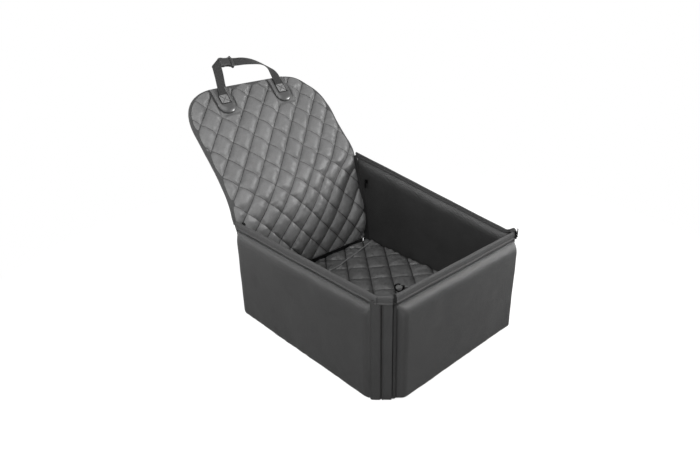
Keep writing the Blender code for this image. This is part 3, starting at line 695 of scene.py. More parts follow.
def side_place(side):
    """Wall coordinates to the part's frame for the left (-1) or right (+1) wall.

    The right wall, the far one in the photograph, climbs towards the rear and leans back there.
    """
    def place(forward, deep, z):
        x, y = HALF_WIDTH - deep, -forward
        if side > 0:
            up = np.clip(z, 0, None) / RIM
            behind = np.clip((y - REACH_FROM) / (SIDE_BACK - REACH_FROM), 0, 1)
            y = y + REAR_REACH * up ** 2.4 * behind ** 1.5
            z = z + up ** 2 * (RIM_CLIMB * (y - DIP_Y) - RIM_DIP) * ease((y + 0.24) / 0.035)
        return np.stack([x * side + 0 * y, y + 0 * z, z + 0 * x], axis=-1)
    return place


def front_place(forward, deep, z):
    """Front wall; beyond its ends the coordinates turn into the slanted corners."""
    kink = HALF_WIDTH - CORNER
    over = np.clip(np.abs(forward) - kink, 0, None)
    side = np.sign(forward)
    x = np.minimum(np.abs(forward), kink) + over * SLANT - np.where(over > 0, deep * SLANT, 0)
    y = -FRONT_PLANE + np.where(over > 0, over * SLANT + deep * SLANT, deep)
    return np.stack([x * side, y + 0 * z, z + 0 * x], axis=-1)


def wall_pad(name, place, ends, inner, margins, seed, puff=0.0128, rolls=(0.020, 0.020), top=PAD_TOP):
    """A wall's padded panel between two ends, with flat sewn margins and soft shoulders.

    margins are the flat parts at its two ends, and rolls the lengths over which it swells out beside them.
    """
    start, finish = ends
    high = CLOTH_TOP
    if inner:
        low, seam, thick, hem = FOOT, WALL - 0.0115, 0.0112, 0.012
    else:
        low, seam, thick, hem = WALL_FOOT, SEAM_DEEP, -puff, 0.007
    length = finish - start

    def front(across, along):
        forward, z = start + length * across, low + (high - low) * along
        from_start, from_end = forward - start - margins[0], finish - margins[1] - forward
        rise = shoulder(top - z, RIM_ROLL) * shoulder(z - low + 0.0006, hem)
        rise = rise * shoulder(from_start, rolls[0]) * shoulder(from_end, rolls[1])
        edge = np.minimum(np.minimum(top - z, z - low), np.minimum(from_start, from_end))
        edge = np.clip(edge, 0, None)
        rumple = 0.0011 * unevenness(forward, z, seed, 0.085)
        rumple = rumple + 0.0005 * unevenness(forward, z, seed + 1, 0.032)
        tuck = 0.0007 * unevenness(forward, z * 0.3, seed + 2, 0.012) * np.exp(-edge / 0.012) * (edge > 0)
        swell = thick * rise + np.sign(thick) * rise * (rumple + tuck)
        dip = 0.0011 * np.sign(thick) * hump(top + 0.0012 - z, 0.0016)
        inside = (from_start > 0) & (from_end > 0)
        border = np.minimum(to_edge(across) * length, to_edge(along) * (high - low))
        return place(forward, seam + (swell - dip * inside) * (border > 1e-6), z)

    def back(across, along):
        return place(start + length * across, seam + 0 * across, low + (high - low) * along)

    columns = int(length / 0.0034)
    return closed_pad(name, columns, 66, front, back, (length, high - low))


def rim_binding(name, place, route, body, node, inner_turn=RIM_TURN, finish="binding"):
    """Folded edge binding over a wall's top, along a route of (forward, deep) points, and its stitching."""
    route = smooth_route([(f, d, 0) for f, d in route], 6)
    run = lengths_along(route)
    ahead = unit(np.gradient(route, axis=0))
    half, top, bead, stitch_line = BINDING_HALF, RIM, 0.0017, 0.0042
    straight = RIM_TURN - half
    total = straight + math.pi * half + inner_turn - half

    def spot(around, at, out):
        centre, side = at_length(at, run, route[:, :2]), at_length(at, run, ahead[:, :2])
        inward = np.stack([-side[:, 1], side[:, 0]], axis=1) * np.sign(side[:, :1])
        turn = np.clip((around - straight) / half, 0, math.pi)
        z = np.where(around < straight, top - half - straight + around, top - half + half * np.sin(turn))
        past = around - straight - math.pi * half
        z = np.where(past > 0, top - half - past, z)
        border = np.minimum(around, total - around)
        out = out + 0.0013 * hump(border - bead, 0.0011) - 0.0007 * hump(border - 0.0044, 0.0011)
        offset = -(half + out) * np.cos(turn)
        slack = 0.0005 * unevenness(at, around, 91, 0.022)
        flat = centre + inward * (offset + np.sign(offset) * slack)[:, None]
        rise = out * np.sin(turn) + 0.0006 * unevenness(at, 0 * at, 92, 0.05)
        return place(flat[:, 0], flat[:, 1], z + rise)

    rows = max(int(run[-1] / 0.004), 8)
    band = cloth_sheet(name, 44, rows, lambda across, along: spot(across * total, along * run[-1], 0),
                       (total, run[-1]), TAPE_THICKNESS)
    settle(band, finish, "webbing", body, node)
    for word, line in (("outer", stitch_line), ("inner", total - stitch_line)):
        row = stitches(f"{name}_{word}_stitches", run[-1],
                       lambda x, y, z: spot(line + x, y, z + 0.0006))
        settle(row, "thread", "webbing", body)


def make_walls():
    for side, word in ((-1, "left"), (1, "right")):
        place = side_place(side)
        ends = (-SIDE_BACK, SIDE_FRONT)
        body = word + "_wall"
        outer = wall_pad(word + "_outer_cushion", place, ends, False, (0.004, 0.0), 20 + side)
        settle(outer, "wall_cloth", "outer_cloth", body, word + "_outer_pad", fill=0.5)
        far = {"rolls": (0.006, 0.020), "top": RIM - FAR_TURN - 0.001} if side > 0 else {}
        inner = wall_pad(word + "_inner_cushion", place, ends, True, (0.001, 0.003), 40 + side, **far)
        settle(inner, "wall_cloth", "outer_cloth", body, word + "_inner_pad", fill=0.5)
        kink = SIDE_FRONT + BOARD_MIDDLE - BINDING_HALF
        end = (SIDE_FRONT + (GROOVE_START - 0.0025) * SLANT, (GROOVE_START + 0.0025) * SLANT)
        route = [(forward, BOARD_MIDDLE) for forward in (-SIDE_BACK, -0.1, 0.05, kink - 0.012)]
        route += [(kink - 0.001, BOARD_MIDDLE + 0.001), (kink + 0.008, BOARD_MIDDLE + 0.0085), end]
        # The far wall's rim binding takes the darker copy of the binding, which is painted shade
        rim_binding(word + "_rim_tape", place, route, body, word + "_rim_binding",
                    *((FAR_TURN, "painted_shade_binding") if side > 0 else ()))
    reach = HALF_WIDTH - CORNER + 0.0022
    outer = wall_pad("front_outer_cushion", front_place, (-reach, reach), False, (0.007, 0.002), 61,
                     puff=0.0162, rolls=(0.017, 0.012))
    settle(outer, "wall_cloth", "outer_cloth", "front_wall", "front_outer_pad", fill=0.5)
    inside = HALF_WIDTH - CORNER - 0.002
    inner = wall_pad("front_inner_cushion", front_place, (-inside, inside), True, (0.003, 0.003), 71)
    settle(inner, "wall_cloth", "outer_cloth", "front_wall", "front_inner_pad", fill=0.5)
    route = [(forward, BOARD_MIDDLE) for forward in (-inside, -0.06, 0.06, inside)]
    rim_binding("front_rim_tape", front_place, route, "front_wall", "front_rim_binding")


def make_far_board():
    """The far wall's board, bent as its cushions are."""
    low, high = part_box("right_board")
    place = side_place(1)
    middle = HALF_WIDTH - (low[0] + high[0]) / 2
    obj = cloth_sheet("right_stiffener", 60, 24, lambda across, along: place(
        -(low[1] + (high[1] - low[1]) * across), middle + 0 * across, low[2] + (high[2] - low[2]) * along),
        (high[1] - low[1], high[2] - low[2]), high[0] - low[0])
    settle(obj, "board", "board", "right_wall", "right_board")


GUSSET_SEAM = 0.0200


def gusset_depth(t):
    """How far behind the corner's outer plane the gusset's cloth lies, t along the slant."""
    soft = 0.0042 - 0.0030 * shoulder(t + 0.002, 0.006) * shoulder(0.0190 - t, 0.005)
    seam, piping = 0.0020 * hump(t - GUSSET_SEAM, 0.0009), -0.0013 * hump(t - 0.0228, 0.0009)
    return np.where(t < GUSSET_SEAM, soft, 0.0022) + seam + piping


def make_gussets():
    for side, word in ((-1, "left"), (1, "right")):
        wall = side_place(side)
        low, high, reach = WALL_FOOT, CLOTH_TOP, GROOVE_START

        def place(across, along, wall=wall):
            t = -0.002 + (reach + 0.002) * across
            deep = gusset_depth(t) + 0.0004 * unevenness(t, along * 0.24, 15, 0.03)
            forward = SIDE_FRONT + t * SLANT - deep * SLANT
            return wall(forward, t * SLANT + deep * SLANT, low + (high - low) * along)

        obj = cloth_sheet(word + "_corner_cloth", 70, 80, place, (reach, high - low), 0.0012)
        settle(obj, "wall_cloth", "outer_cloth", word + "_wall", word + "_corner_gusset")


# Back
BEND_RADIUS = 0.16
BEND_REACH = BEND_RADIUS * math.tan(BACK_LEAN / 2)
UPPER_SHIFT = PANEL / 2 * math.tan(BACK_LEAN / 2)
FOLD_Z = FOLD_HEIGHT + PANEL / 2 * math.sin(BACK_LEAN) - UPPER_SHIFT * math.cos(BACK_LEAN)
BACK_TOP = BACK_LENGTH + UPPER_SHIFT
BACK_BOTTOM = FLOOR_TOP - 0.001 - FOLD_Z
ZIP_PULL, PULL_AT, PULL_REACH = 0.0235, -0.018, 0.10   # the far zip draws the right edge back here
PUSH, PUSH_AT, PUSH_REACH = 0.0050, -0.152, 0.04       # and it is pushed forward here
BACK_HEM = 0.0035        # the back's cloths end this far inside its binding's fold
BLEND_REACH = 0.030      # back_blend's two points lie this far on both sides of the fold


def back_place(x, s, h):
    """Back coordinates to the part's frame: upright below the fold, leaning above it, rounded between.

    Its right edge is drawn back where the far wall's zip pulls it, and pushed forward a little below that.
    """
    turn = BACK_LEAN * np.clip((s + BEND_REACH) / (2 * BEND_REACH), 0, 1)
    y = BACK_FRONT + BEND_RADIUS * (1 - np.cos(turn))
    z = FOLD_Z - BEND_REACH + BEND_RADIUS * np.sin(turn)
    below, above = np.minimum(s + BEND_REACH, 0), np.maximum(s - BEND_REACH, 0)
    pull = ZIP_PULL * np.clip(1 - ((s - PULL_AT) / PULL_REACH) ** 2, 0, 1) ** 2
    pull = pull - PUSH * hump(s - PUSH_AT, PUSH_REACH)
    y = y + above * math.sin(BACK_LEAN) + pull * ease((x + 0.02) / 0.22)
    z = z + below + above * math.cos(BACK_LEAN)
    return np.stack([x + 0 * s, y - h * np.cos(turn), z + h * np.sin(turn)], axis=-1)


def back_sides(s, inset=0.0):
    """Distances from the back's middle line to its left and right edges at height s."""
    reach, top = BACK_CORNER - inset, BACK_TOP - inset
    rise = np.clip((s - top + reach) / reach, 0, 1)
    angle = np.arcsin(np.clip(rise ** (BACK_CORNER_POWER / 2), 0, 1))
    corner = reach - reach * np.cos(angle) ** (2 / BACK_CORNER_POWER) + inset
    # Both edges flare a little towards the fold and draw in below it, and the right one is wavy
    left = BACK_TOP_HALF + 0.0105 * np.clip(1 - s / 0.13, 0, 1) ** 1.4 - 0.0145 * ease((-0.02 - s) / 0.10)
    right = BACK_HALF + (BACK_TOP_HALF - BACK_HALF) * np.clip(s / (top - reach), 0, 1)
    right = right - 0.0105 * ease((0.11 - s) / 0.08) - 0.0035 * ease((-0.02 - s) / 0.06)
    right = right + 0.0065 * hump(s - 0.225, 0.045) - 0.0060 * hump(s - 0.315, 0.022)
    return left - corner, right - corner


def back_across(across, s, inset=0.0):
    """The x of a point `across` (0 to 1) the back at height s, and how far it is from the nearer side."""
    left, right = back_sides(s, inset)
    x = -left + (left + right) * across
    return x, np.minimum(x + left, right - x)


def back_rows(along, bottom, inset=0.0):
    """Height s of a row: even up to the corners, then closer together towards the top edge."""
    reach, top = BACK_CORNER - inset, BACK_TOP - inset
    start = top - reach
    share = 0.66   # of the rows that lie below the corners
    angle = np.clip((along - share) / (1 - share), 0, 1) * math.pi / 2
    upper = start + reach * np.sin(angle) ** (2 / BACK_CORNER_POWER)
    return np.where(along <= share, bottom + (start - bottom) * along / share, upper)


# A crossing of two seams, and the steps from there to the next ones of both families
BACK_LATTICE = ((-0.0905, 0.2310), (0.0294, -0.0346), (-0.0379, -0.0409))


QUILT_SEAM = -0.0070     # h at which the quilt's front is sewn to its backing
BACK_PUFF, FLOOR_PUFF = 0.0072, 0.0052


def back_blend():
    low, high = (back_place(0, np.array(s), -PANEL / 2) for s in (-BLEND_REACH, BLEND_REACH))
    return "lower_back", "upper_back", tuple(low), tuple(high)


def make_back_quilt():
    seams = []

    def front(across, along):
        s = back_rows(along, BACK_BOTTOM, BACK_HEM)
        x, edge = back_across(across, s, BACK_HEM)
        edge = np.minimum(edge, np.minimum(BACK_TOP - BACK_HEM - s, (s - BACK_BOTTOM) * 1.5))
        soft = shoulder(np.clip(edge - 0.004, 0, None), 0.014)
        height, a, b = quilting(x, s, BACK_LATTICE, BACK_PUFF, 3)
        height = height * (0.30 + 0.70 * soft)
        under_patch = 0
        for patch_x in (-PATCH_X, PATCH_X):
            box = ease((0.033 - np.abs(x - patch_x)) / 0.008) * ease((s - PATCH_LOW + 0.008) / 0.010)
            under_patch = np.maximum(under_patch, box)
        height = height * (1 - 0.85 * under_patch)
        seams.append((a, b, 1 - under_patch))
        # The edge is gathered by its binding, and the whole panel waves a little
        gather = 0.0019 * np.exp(-edge / 0.020) * soft * unevenness(s, edge * 0.4 + 0.5 * x, 37, 0.0095)
        height = height - 0.0030 + 0.0016 * unevenness(x, s, 33, 0.12) * soft + gather
        border = np.minimum(to_edge(across), to_edge(along)) < 1e-9
        return back_place(x, s, np.where(border, QUILT_SEAM, height))

    def back(across, along):
        s = back_rows(along, BACK_BOTTOM, BACK_HEM)
        return back_place(back_across(across, s, BACK_HEM)[0], s, QUILT_SEAM + 0 * s)

    obj = closed_pad("back_quilt", 188, 252, front, back, (2 * BACK_HALF, BACK_TOP - BACK_BOTTOM), seams)
    settle(obj, "quilt_satin", "quilt_cloth", back_blend(),
           "lower_back_quilt", "upper_back_quilt", "lower_back_core", "upper_back_core", fill=0.45)


def make_back_lining():
    bottom = -FOLD_Z + FOOT + 0.001
    flat = (2 * BACK_HALF, BACK_TOP - bottom)
    area = 0.95 * flat[0] * flat[1]   # less its rounded corners

    def place(across, along):
        s = back_rows(along, bottom, BACK_HEM)
        x = back_across(across, s, BACK_HEM)[0]
        return back_place(x, s, -0.0100 + 0.0012 * unevenness(x, s, 51, 0.07))

    obj = cloth_sheet("back_lining", 90, 120, place, flat, 0.0011)
    settle(obj, "lining", "lining_cloth", back_blend(), "lower_back_lining", "upper_back_lining")


def back_edge(inset, low):
    """Points (x, s) and inward directions round the back's edge, from the left side over the top."""
    s = back_rows(np.linspace(0, 1, 160), low, inset)
    left, right = back_sides(s, inset)
    outline = np.concatenate([np.stack([-left, s], 1), np.stack([right, s], 1)[::-1]])
    keep = np.concatenate([[True], np.linalg.norm(np.diff(outline, axis=0), axis=1) > 1e-5])
    outline = outline[keep]
    run = lengths_along(outline)
    even = np.linspace(0, run[-1], int(run[-1] / 0.004))
    outline = at_length(even, run, outline)
    ahead = unit(np.gradient(outline, axis=0))
    return outline, np.stack([ahead[:, 1], -ahead[:, 0]], 1), even


def make_back_binding():
    """Tape folded round the edge of the back, sewn through all its layers."""
    outline, inward, run = back_edge(0.0005, -0.02)
    reach, front, rear = 0.0105, -0.0010, -0.0112
    radius = (front - rear) / 2
    total = 2 * reach + math.pi * radius

    def place(across, along):
        at = along * run[-1]
        spot, into = at_length(at, run, outline), at_length(at, run, inward)
        around = across * total
        turn = np.clip((around - reach) / radius, 0, math.pi)
        distance = np.clip(reach - around, 0, None) + np.clip(around - reach - math.pi * radius, 0, None)
        middle, bulge = (front + rear) / 2, radius * 0.45 * np.sin(turn)
        height = middle + radius * np.cos(turn)
        height = height + 0.0016 * ease(distance / reach) * np.sign(-np.cos(turn)) * (distance > 0)
        height = height + 0.0005 * unevenness(at, around, 81, 0.02)
        flat = spot + into * (distance - bulge + radius * 0.45)[:, None]
        return back_place(flat[:, 0], flat[:, 1], height)

    obj = cloth_sheet("back_edge_tape", 22, len(run), place, (total, run[-1]), TAPE_THICKNESS)
    settle(obj, "binding", "webbing", back_blend(), "upper_back_binding")


def plane_place(x, y, s):
    """The upper back's own plane, as its solids use it: y behind its middle, s up from the hinge."""
    sin, cos = math.sin(BACK_LEAN), math.cos(BACK_LEAN)
    y, s = np.asarray(y, float) + 0 * x, np.asarray(s, float) + 0 * x
    hinge_y = BACK_FRONT + PANEL / 2
    return np.stack([x + 0 * s, hinge_y + y * cos + s * sin, FOLD_HEIGHT - y * sin + s * cos], axis=-1)


PATCH_THICKNESS = 0.003
PATCH_FACE = -PANEL / 2 - 0.0003 - PATCH_THICKNESS
STRAP_Y = PATCH_FACE - 0.0003 - WEBBING_THICKNESS / 2
WEBBING_FACE = STRAP_Y - WEBBING_THICKNESS / 2


PATCH_RISE, PATCH_SUNK = 0.0062, 0.0035
PATCH_FOOT = PATCH_LOW + PATCH_WIDTH / 2
PATCH_BOWL = 0.45        # share of the patch's rows that make its round foot
PLATE, PLATE_S = 0.0245, 0.3110


def patch_outline(across, along):
    """The patch's flat points (x, s): straight sides over a round foot."""
    half = PATCH_WIDTH / 2
    bowl = np.clip(1 - along / PATCH_BOWL, 0, 1)
    leg = np.clip((along - PATCH_BOWL) / (1 - PATCH_BOWL), 0, 1)
    s = PATCH_FOOT - half * bowl + (PATCH_HIGH - PATCH_FOOT) * leg
    return (2 * across - 1) * half * np.sqrt(np.clip(1 - bowl ** 2, 1e-6, 1)), s


def make_patches():
    """Moulded U-shaped patch: a broad rounded rim, a hollow for the strap end, a cross-stitched plate with
    painted shade in its X grooves.
    """
    for side, word in ((-1, "left"), (1, "right")):
        def rim(across, along, side=side):
            x, s = patch_outline(across, along)
            from_side = np.hypot(x, np.clip(PATCH_FOOT - s, 0, None))
            into = np.clip(PATCH_WIDTH / 2 - from_side, 0, None)
            window = ease((0.0165 - np.abs(x)) / 0.0032) * ease((s - 0.2955) / 0.0040)
            toe = ease((0.298 - s) / 0.012)
            height = PATCH_RISE * shoulder(into, 0.0080 + 0.0120 * toe) * (1 - 0.74 * window)
            border = np.minimum(to_edge(across), to_edge(along)) < 1e-9
            return plane_place(side * PATCH_X + x, np.where(border, PATCH_SUNK, -height) - PANEL / 2, s)

        def base(across, along, side=side):
            x, s = patch_outline(across, along)
            return plane_place(side * PATCH_X + x, PATCH_SUNK - PANEL / 2, s)

        obj = closed_pad(word + "_patch_moulding", 72, 96, rim, base, (PATCH_WIDTH, PATCH_HIGH - PATCH_LOW))
        settle(obj, "patch", "moulded_patch", "upper_back", word + "_strap_patch")

        seams = []

        def crossed(across, along, side=side, seams=seams):
            u, v = (across - 0.5) * PLATE, (along - 0.5) * PLATE
            # Where the X grooves run, for the painted shade along them
            seams.append(((u + v) / PLATE * 0.49, (u - v) / PLATE * 0.49, 1 + 0 * u))
            edge = PLATE / 2 - np.maximum(np.abs(u), np.abs(v))
            height = 0.0018 * shoulder(edge, 0.0022) - 0.0010 * hump(edge - 0.0031, 0.0008)
            cross = np.abs(np.abs(u) - np.abs(v)) * SLANT
            height = height - 0.0011 * hump(cross, 0.0009) * ease((edge - 0.0028) / 0.001)
            return plane_place(side * PATCH_X + u, WEBBING_FACE - height * (edge > 1e-9), PLATE_S + v)

        def under(across, along, side=side):
            u, v = (across - 0.5) * PLATE, (along - 0.5) * PLATE
            return plane_place(side * PATCH_X + u, WEBBING_FACE, PLATE_S + v)

        obj = closed_pad(word + "_cross_plate", 64, 64, crossed, under, (PLATE, PLATE), seams)
        settle(obj, "cross_plate", "moulded_patch", "upper_back")


make_walls()
make_far_board()
make_gussets()
make_back_quilt()
make_back_lining()
make_back_binding()
make_patches()


# Headrest strap: its left leg leans and folds over beside the buckle, its right one arches and twists
BUCKLE_X, BUCKLE_S, BUCKLE_TILT = -0.0316, 0.4185, math.radians(6.4)
SOCKET_LEFT, PLUG_RIGHT = -0.0190, 0.0225
LEG_LEAN = math.radians(75)
SEWN_FROM = 0.2990
FOLD_LOW, FOLD_HIGH = np.array((-0.0777, 0.4111)), np.array((-0.0461, 0.4327))


def buckle_end(along, up=0.0):
    """A point `along` the buckle's axis and `up` from it, in the strap's plane."""
    cos, sin = math.cos(BUCKLE_TILT), math.sin(BUCKLE_TILT)
    return np.array((BUCKLE_X + along * cos + up * sin, BUCKLE_S - along * sin + up * cos))


def sewn_centre(side, s):
    if side < 0:
        return -PATCH_X + (s - PLATE_S) / math.tan(LEG_LEAN), s
    return PATCH_X + 0.06 * (s - SEWN_FROM), s


def strap_run(name, points):
    """Webbing through points (x, s, degrees), the angle being its turn out of the strap's plane."""
    flat = smooth_route(points, 8)
    ahead = unit(np.gradient(flat[:, :2], axis=0))
    turn = np.radians(flat[:, 2])
    centre = plane_place(flat[:, 0], STRAP_Y, flat[:, 1])
    across = plane_place(flat[:, 0] + ahead[:, 1], STRAP_Y, flat[:, 1] - ahead[:, 0]) - centre
    out = plane_place(flat[:, 0], STRAP_Y + 1, flat[:, 1]) - centre
    halves = (across * np.cos(turn)[:, None] - out * np.sin(turn)[:, None]) * WEBBING / 2
    return ribbon(name, centre, halves, WEBBING_THICKNESS)


def folded_part(name, corners, deep, rows):
    """Webbing between four corners (x, s): the first two across one end, the last two across the other."""
    near_a, near_b, far_b, far_a = corners

    def place(across, along):
        a, b = across[:, None], along[:, None]
        spot = (near_a * (1 - a) + near_b * a) * (1 - b) + (far_a * (1 - a) + far_b * a) * b
        return plane_place(spot[:, 0], STRAP_Y + deep(across, along), spot[:, 1])

    size = (WEBBING, float(np.linalg.norm((far_a + far_b - near_a - near_b) / 2)))
    obj = cloth_sheet(name, 10, rows, place, size, WEBBING_THICKNESS)
    round_edges(obj, 0.0005, 2)
    smooth(obj, 60)
    return obj


def make_strap():
    near, far = (tuple(plane_place(0, STRAP_Y, STRAP_FOLD + reach)) for reach in (-0.006, 0.006))
    hinge = ("upper_back", "headrest_strap", near, far)
    foot = np.array(sewn_centre(-1, SEWN_FROM))
    side = np.array((math.sin(LEG_LEAN), -math.cos(LEG_LEAN))) * WEBBING / 2

    def bowed(across, along):
        return -0.0030 * np.sin(math.pi * np.clip((along - 0.45) / 0.55, 0, 1)) * (0.4 + across)

    leg = folded_part("strap_left_leg", (foot - side, foot + side, FOLD_HIGH, FOLD_LOW), bowed, 44)
    settle(leg, "webbing", "webbing", hinge, "strap_left_webbing", "left_strap_end")
    entry = [buckle_end(SOCKET_LEFT - 0.0008, up) for up in (WEBBING / 2, -WEBBING / 2)]
    top = folded_part("strap_left_top", (FOLD_LOW, FOLD_HIGH, *entry),
                      lambda across, along: 0.0021 * (1 - along), 16)
    settle(top, "webbing", "webbing", "headrest_strap")
    crease = np.linspace(FOLD_LOW, FOLD_HIGH, 12)
    crease = plane_place(crease[:, 0], STRAP_Y + 0.0010, crease[:, 1])
    settle(rope("strap_left_fold", crease, 0.0018), "webbing", "webbing", "headrest_strap")
    right = strap_run("strap_right", [
        (*buckle_end(PLUG_RIGHT - 0.0006), 0), (0.0040, 0.4150, 2), (0.0160, 0.4146, 4),
        (0.0300, 0.4126, 8), (0.0446, 0.4091, 16), (0.0580, 0.4044, 27), (0.0700, 0.3982, 37),
        (0.0805, 0.3895, 41), (0.0885, 0.3785, 32), (0.0933, 0.3665, 13),
        (*sewn_centre(1, STRAP_FOLD - 0.0010), 0)])
    settle(right, "webbing", "webbing", "buckle_plug_half", "strap_right_webbing")
    heights = (SEWN_FROM, 0.315, 0.335, STRAP_FOLD)
    end = strap_run("strap_right_end", [(*sewn_centre(1, s), 0) for s in heights])
    settle(end, "webbing", "webbing", "upper_back", "right_strap_end")


def buckle_part(name, stations, body, *nodes):
    """A rounded body along the buckle's axis through stations of (along, half height, half thickness)."""
    obj, across, along = cloth_grid(name, 36, 7 * (len(stations) - 1))
    at = along * (len(stations) - 1)
    reach, tall, deep = (np.interp(at, np.arange(len(stations)), column) for column in zip(*stations))
    turn = across * 2 * math.pi
    corner = lambda wave: np.sign(wave) * np.abs(wave) ** 0.55
    spot = buckle_end(reach, tall * corner(np.cos(turn)))
    lay_uv(obj, across * 0.08, reach)
    move_points(obj, plane_place(spot[0], STRAP_Y + deep * corner(np.sin(turn)), spot[1]))
    outward(obj, weld=True)
    smooth(obj, 50)
    settle(obj, "buckle", "buckle_plastic", body, *nodes)


def make_buckle():
    left, right = SOCKET_LEFT, PLUG_RIGHT
    buckle_part("socket_shell", [
        (left, 0, 0), (left, 0.0120, 0.0030), (left + 0.0018, 0.0138, 0.0046),
        (left + 0.0080, 0.0142, 0.0056), (-0.0040, 0.0122, 0.0059), (0.0050, 0.0124, 0.0059),
        (0.0100, 0.0144, 0.0052), (0.0118, 0.0136, 0.0040), (0.0118, 0, 0)],
        "headrest_strap", "buckle_socket")
    buckle_part("plug_flange", [
        (0.0121, 0, 0), (0.0121, 0.0130, 0.0036), (0.0130, 0.0170, 0.0054), (0.0150, 0.0182, 0.0062),
        (0.0172, 0.0180, 0.0060), (0.0184, 0.0152, 0.0044), (right - 0.0012, 0.0136, 0.0034),
        (right, 0.0128, 0.0024), (right, 0, 0)],
        "buckle_plug_half", "buckle_plug")
    for word, up in (("low", -0.0085), ("high", 0.0085)):
        arm = small_block("plug_arm_" + word, (0.0190, 0.0032, 0.0036))
        apply_modifier(arm, "BEVEL", width=0.0009, segments=3)
        spots = points_of(arm)
        lay_uv(arm, spots[:, 0], spots[:, 2])
        place = buckle_end(spots[:, 0] + 0.0034, spots[:, 2] + up)
        move_points(arm, plane_place(place[0], STRAP_Y + spots[:, 1], place[1]))
        outward(arm)
        smooth(arm, 40)
        settle(arm, "buckle", "buckle_plastic", "buckle_plug_half")


make_strap()
make_buckle()


# Floor pad
FLOOR_LATTICE = ((0.0961, 0.0405), (0.0462, -0.0333), (0.0379, 0.0478))
RIDGE = ((-0.20, 0.165), (-0.018, 0.170), (0.040, 0.179), (0.215, 0.225))   # (x, y) of its piped seam


def make_floor():
    seams = []
    x_half, y_low, y_high = PAD_HIGH[0], PAD_LOW[1], PAD_HIGH[1]
    seam_z = PAD_HIGH[2] - 0.0095

    def spot(across, along):
        return (2 * across - 1) * x_half, y_low + (y_high - y_low) * along

    def front(across, along):
        x, y = spot(across, along)
        edge = np.minimum(x_half - np.abs(x), np.minimum(y - y_low, y_high - y))
        soft = shoulder(np.clip(edge, 0, None), 0.012)
        height, a, b = quilting(x, y, FLOOR_LATTICE, FLOOR_PUFF, 130, 3.0)
        behind = y - np.interp(x, *zip(*RIDGE))
        seams.append((a, b, 1 + 0 * a))
        # The piped ridge, with lower cloth behind it, then rucks near the far wall
        ridge = 0.0042 * hump(behind, 0.0030) - 0.0022 * ease(behind / 0.004)
        far = ease((x - x_half + 0.085) / 0.085)
        ruck = 0.0030 * far * unevenness(y + 0.25 * x, x * 0.30, 140, 0.0130)
        ruck = ruck + 0.0022 * ease(behind / 0.02) * unevenness(x * 0.8 + 0.5 * y, y, 142, 0.0110)
        crumple = 0.0007 * unevenness(x - 0.6 * y, y, 143, 0.0090) + 0.0012 * unevenness(x, y, 141, 0.10)
        return np.stack([x, y, seam_z + soft * (0.0056 + height + ridge + ruck + crumple)], -1)

    def back(across, along):
        x, y = spot(across, along)
        return np.stack([x, y, seam_z + 0 * x], -1)

    obj = closed_pad("floor_pad", 196, 228, front, back, (2 * x_half, y_high - y_low), seams)
    settle(obj, "floor_satin", "quilt_cloth", "seat_base", "floor_quilt", fill=0.4)
    line_x = np.linspace(-x_half + 0.012, x_half - 0.008, 90)
    line = np.stack([line_x, np.interp(line_x, *zip(*RIDGE)) - 0.0012,
                     seam_z + 0.0128 + 0.0008 * unevenness(line_x, 0, 144, 0.04)], -1)
    settle(rope("floor_piping", line, 0.0015), "piping", "quilt_cloth", "seat_base")


SHEET_INSET = 0.012      # the base sheet's hem lies so far inside the walls' feet


def make_base_sheet():
    """Hemmed base sheet, cut across at its front corners and set back under the walls' soft feet."""
    pick_only()
    bpy.ops.mesh.primitive_grid_add(x_subdivisions=40, y_subdivisions=44, size=1)
    obj = bpy.context.object
    obj.name = obj.data.name = "base_sheet"
    spots = points_of(obj)
    size = np.array(SHEET_HIGH) - np.array(SHEET_LOW) - 2 * SHEET_INSET
    middle = (np.array(SHEET_HIGH) + np.array(SHEET_LOW)) / 2
    spots[:, 0], spots[:, 1] = spots[:, 0] * size[0] + middle[0], spots[:, 1] * size[1] + middle[1]
    spots[:, 2] = 0.0011
    lay_uv(obj, spots[:, 0], spots[:, 1])
    move_points(obj, spots)
    for side in (-1, 1):
        bpy.ops.object.mode_set(mode="EDIT")
        bpy.ops.mesh.select_all(action="SELECT")
        corner = (side * (SHEET_HIGH[0] - CORNER), SHEET_LOW[1] + SHEET_INSET * 1.6, 0)
        bpy.ops.mesh.bisect(plane_co=corner, plane_no=(side, -1, 0), clear_outer=True)
        bpy.ops.object.mode_set(mode="OBJECT")
    apply_modifier(obj, "SOLIDIFY", thickness=0.0020, offset=0)
    round_edges(obj, 0.0007, 3)
    smooth(obj, 50)
    settle(obj, "wall_cloth", "outer_cloth", "seat_base", "base_cover")


COIL, COIL_PITCH = 0.0044, 0.0016
REAR_ZIP_Y = 0.2500
FRONT_TAPE, REAR_TAPE = (-0.0105, 0.0022), (-0.0115, 0.0022)


def make_zip(name, place, low, high, sides, body):
    """Coil zip: woven tape between its two sides, and two rows of teeth that meet along its middle."""
    width, height = sides[1] - sides[0], high - low
    tape = cloth_sheet(name + "_tape", 10, 60, lambda across, along: place(
        sides[0] + width * across, 0.0015 + 0 * across, low + height * along), (width, height), 0.0007)
    settle(tape, "zip_tape", "zip_teeth", body, name)
    teeth = small_block(name + "_teeth", (COIL * 0.56, 0.0014, COIL_PITCH * 0.62), (-COIL * 0.24, 0, 0))
    apply_modifier(teeth, "BEVEL", width=0.00028, segments=1)
    repeat(teeth, 2, (COIL * 0.48, 0, COIL_PITCH * 0.5))
    repeat(teeth, int(height / COIL_PITCH), (0, 0, COIL_PITCH))
    spots = points_of(teeth)
    move_points(teeth, place(spots[:, 0], spots[:, 1], low + 0.001 + spots[:, 2]))
    outward(teeth)
    smooth(teeth, 30)
    settle(teeth, "zip_teeth", "zip_teeth", body)


def back_edge_line(z):
    """The x and y of the back's right edge at height z, found in three steps."""
    s = z - FOLD_Z
    x = back_sides(s)[1]
    for _ in range(3):
        s = s - (back_place(x, s, 0 * s)[..., 2] - z)
        x = back_sides(s)[1]
    return x, back_place(x, s, 0 * s)[..., 1]


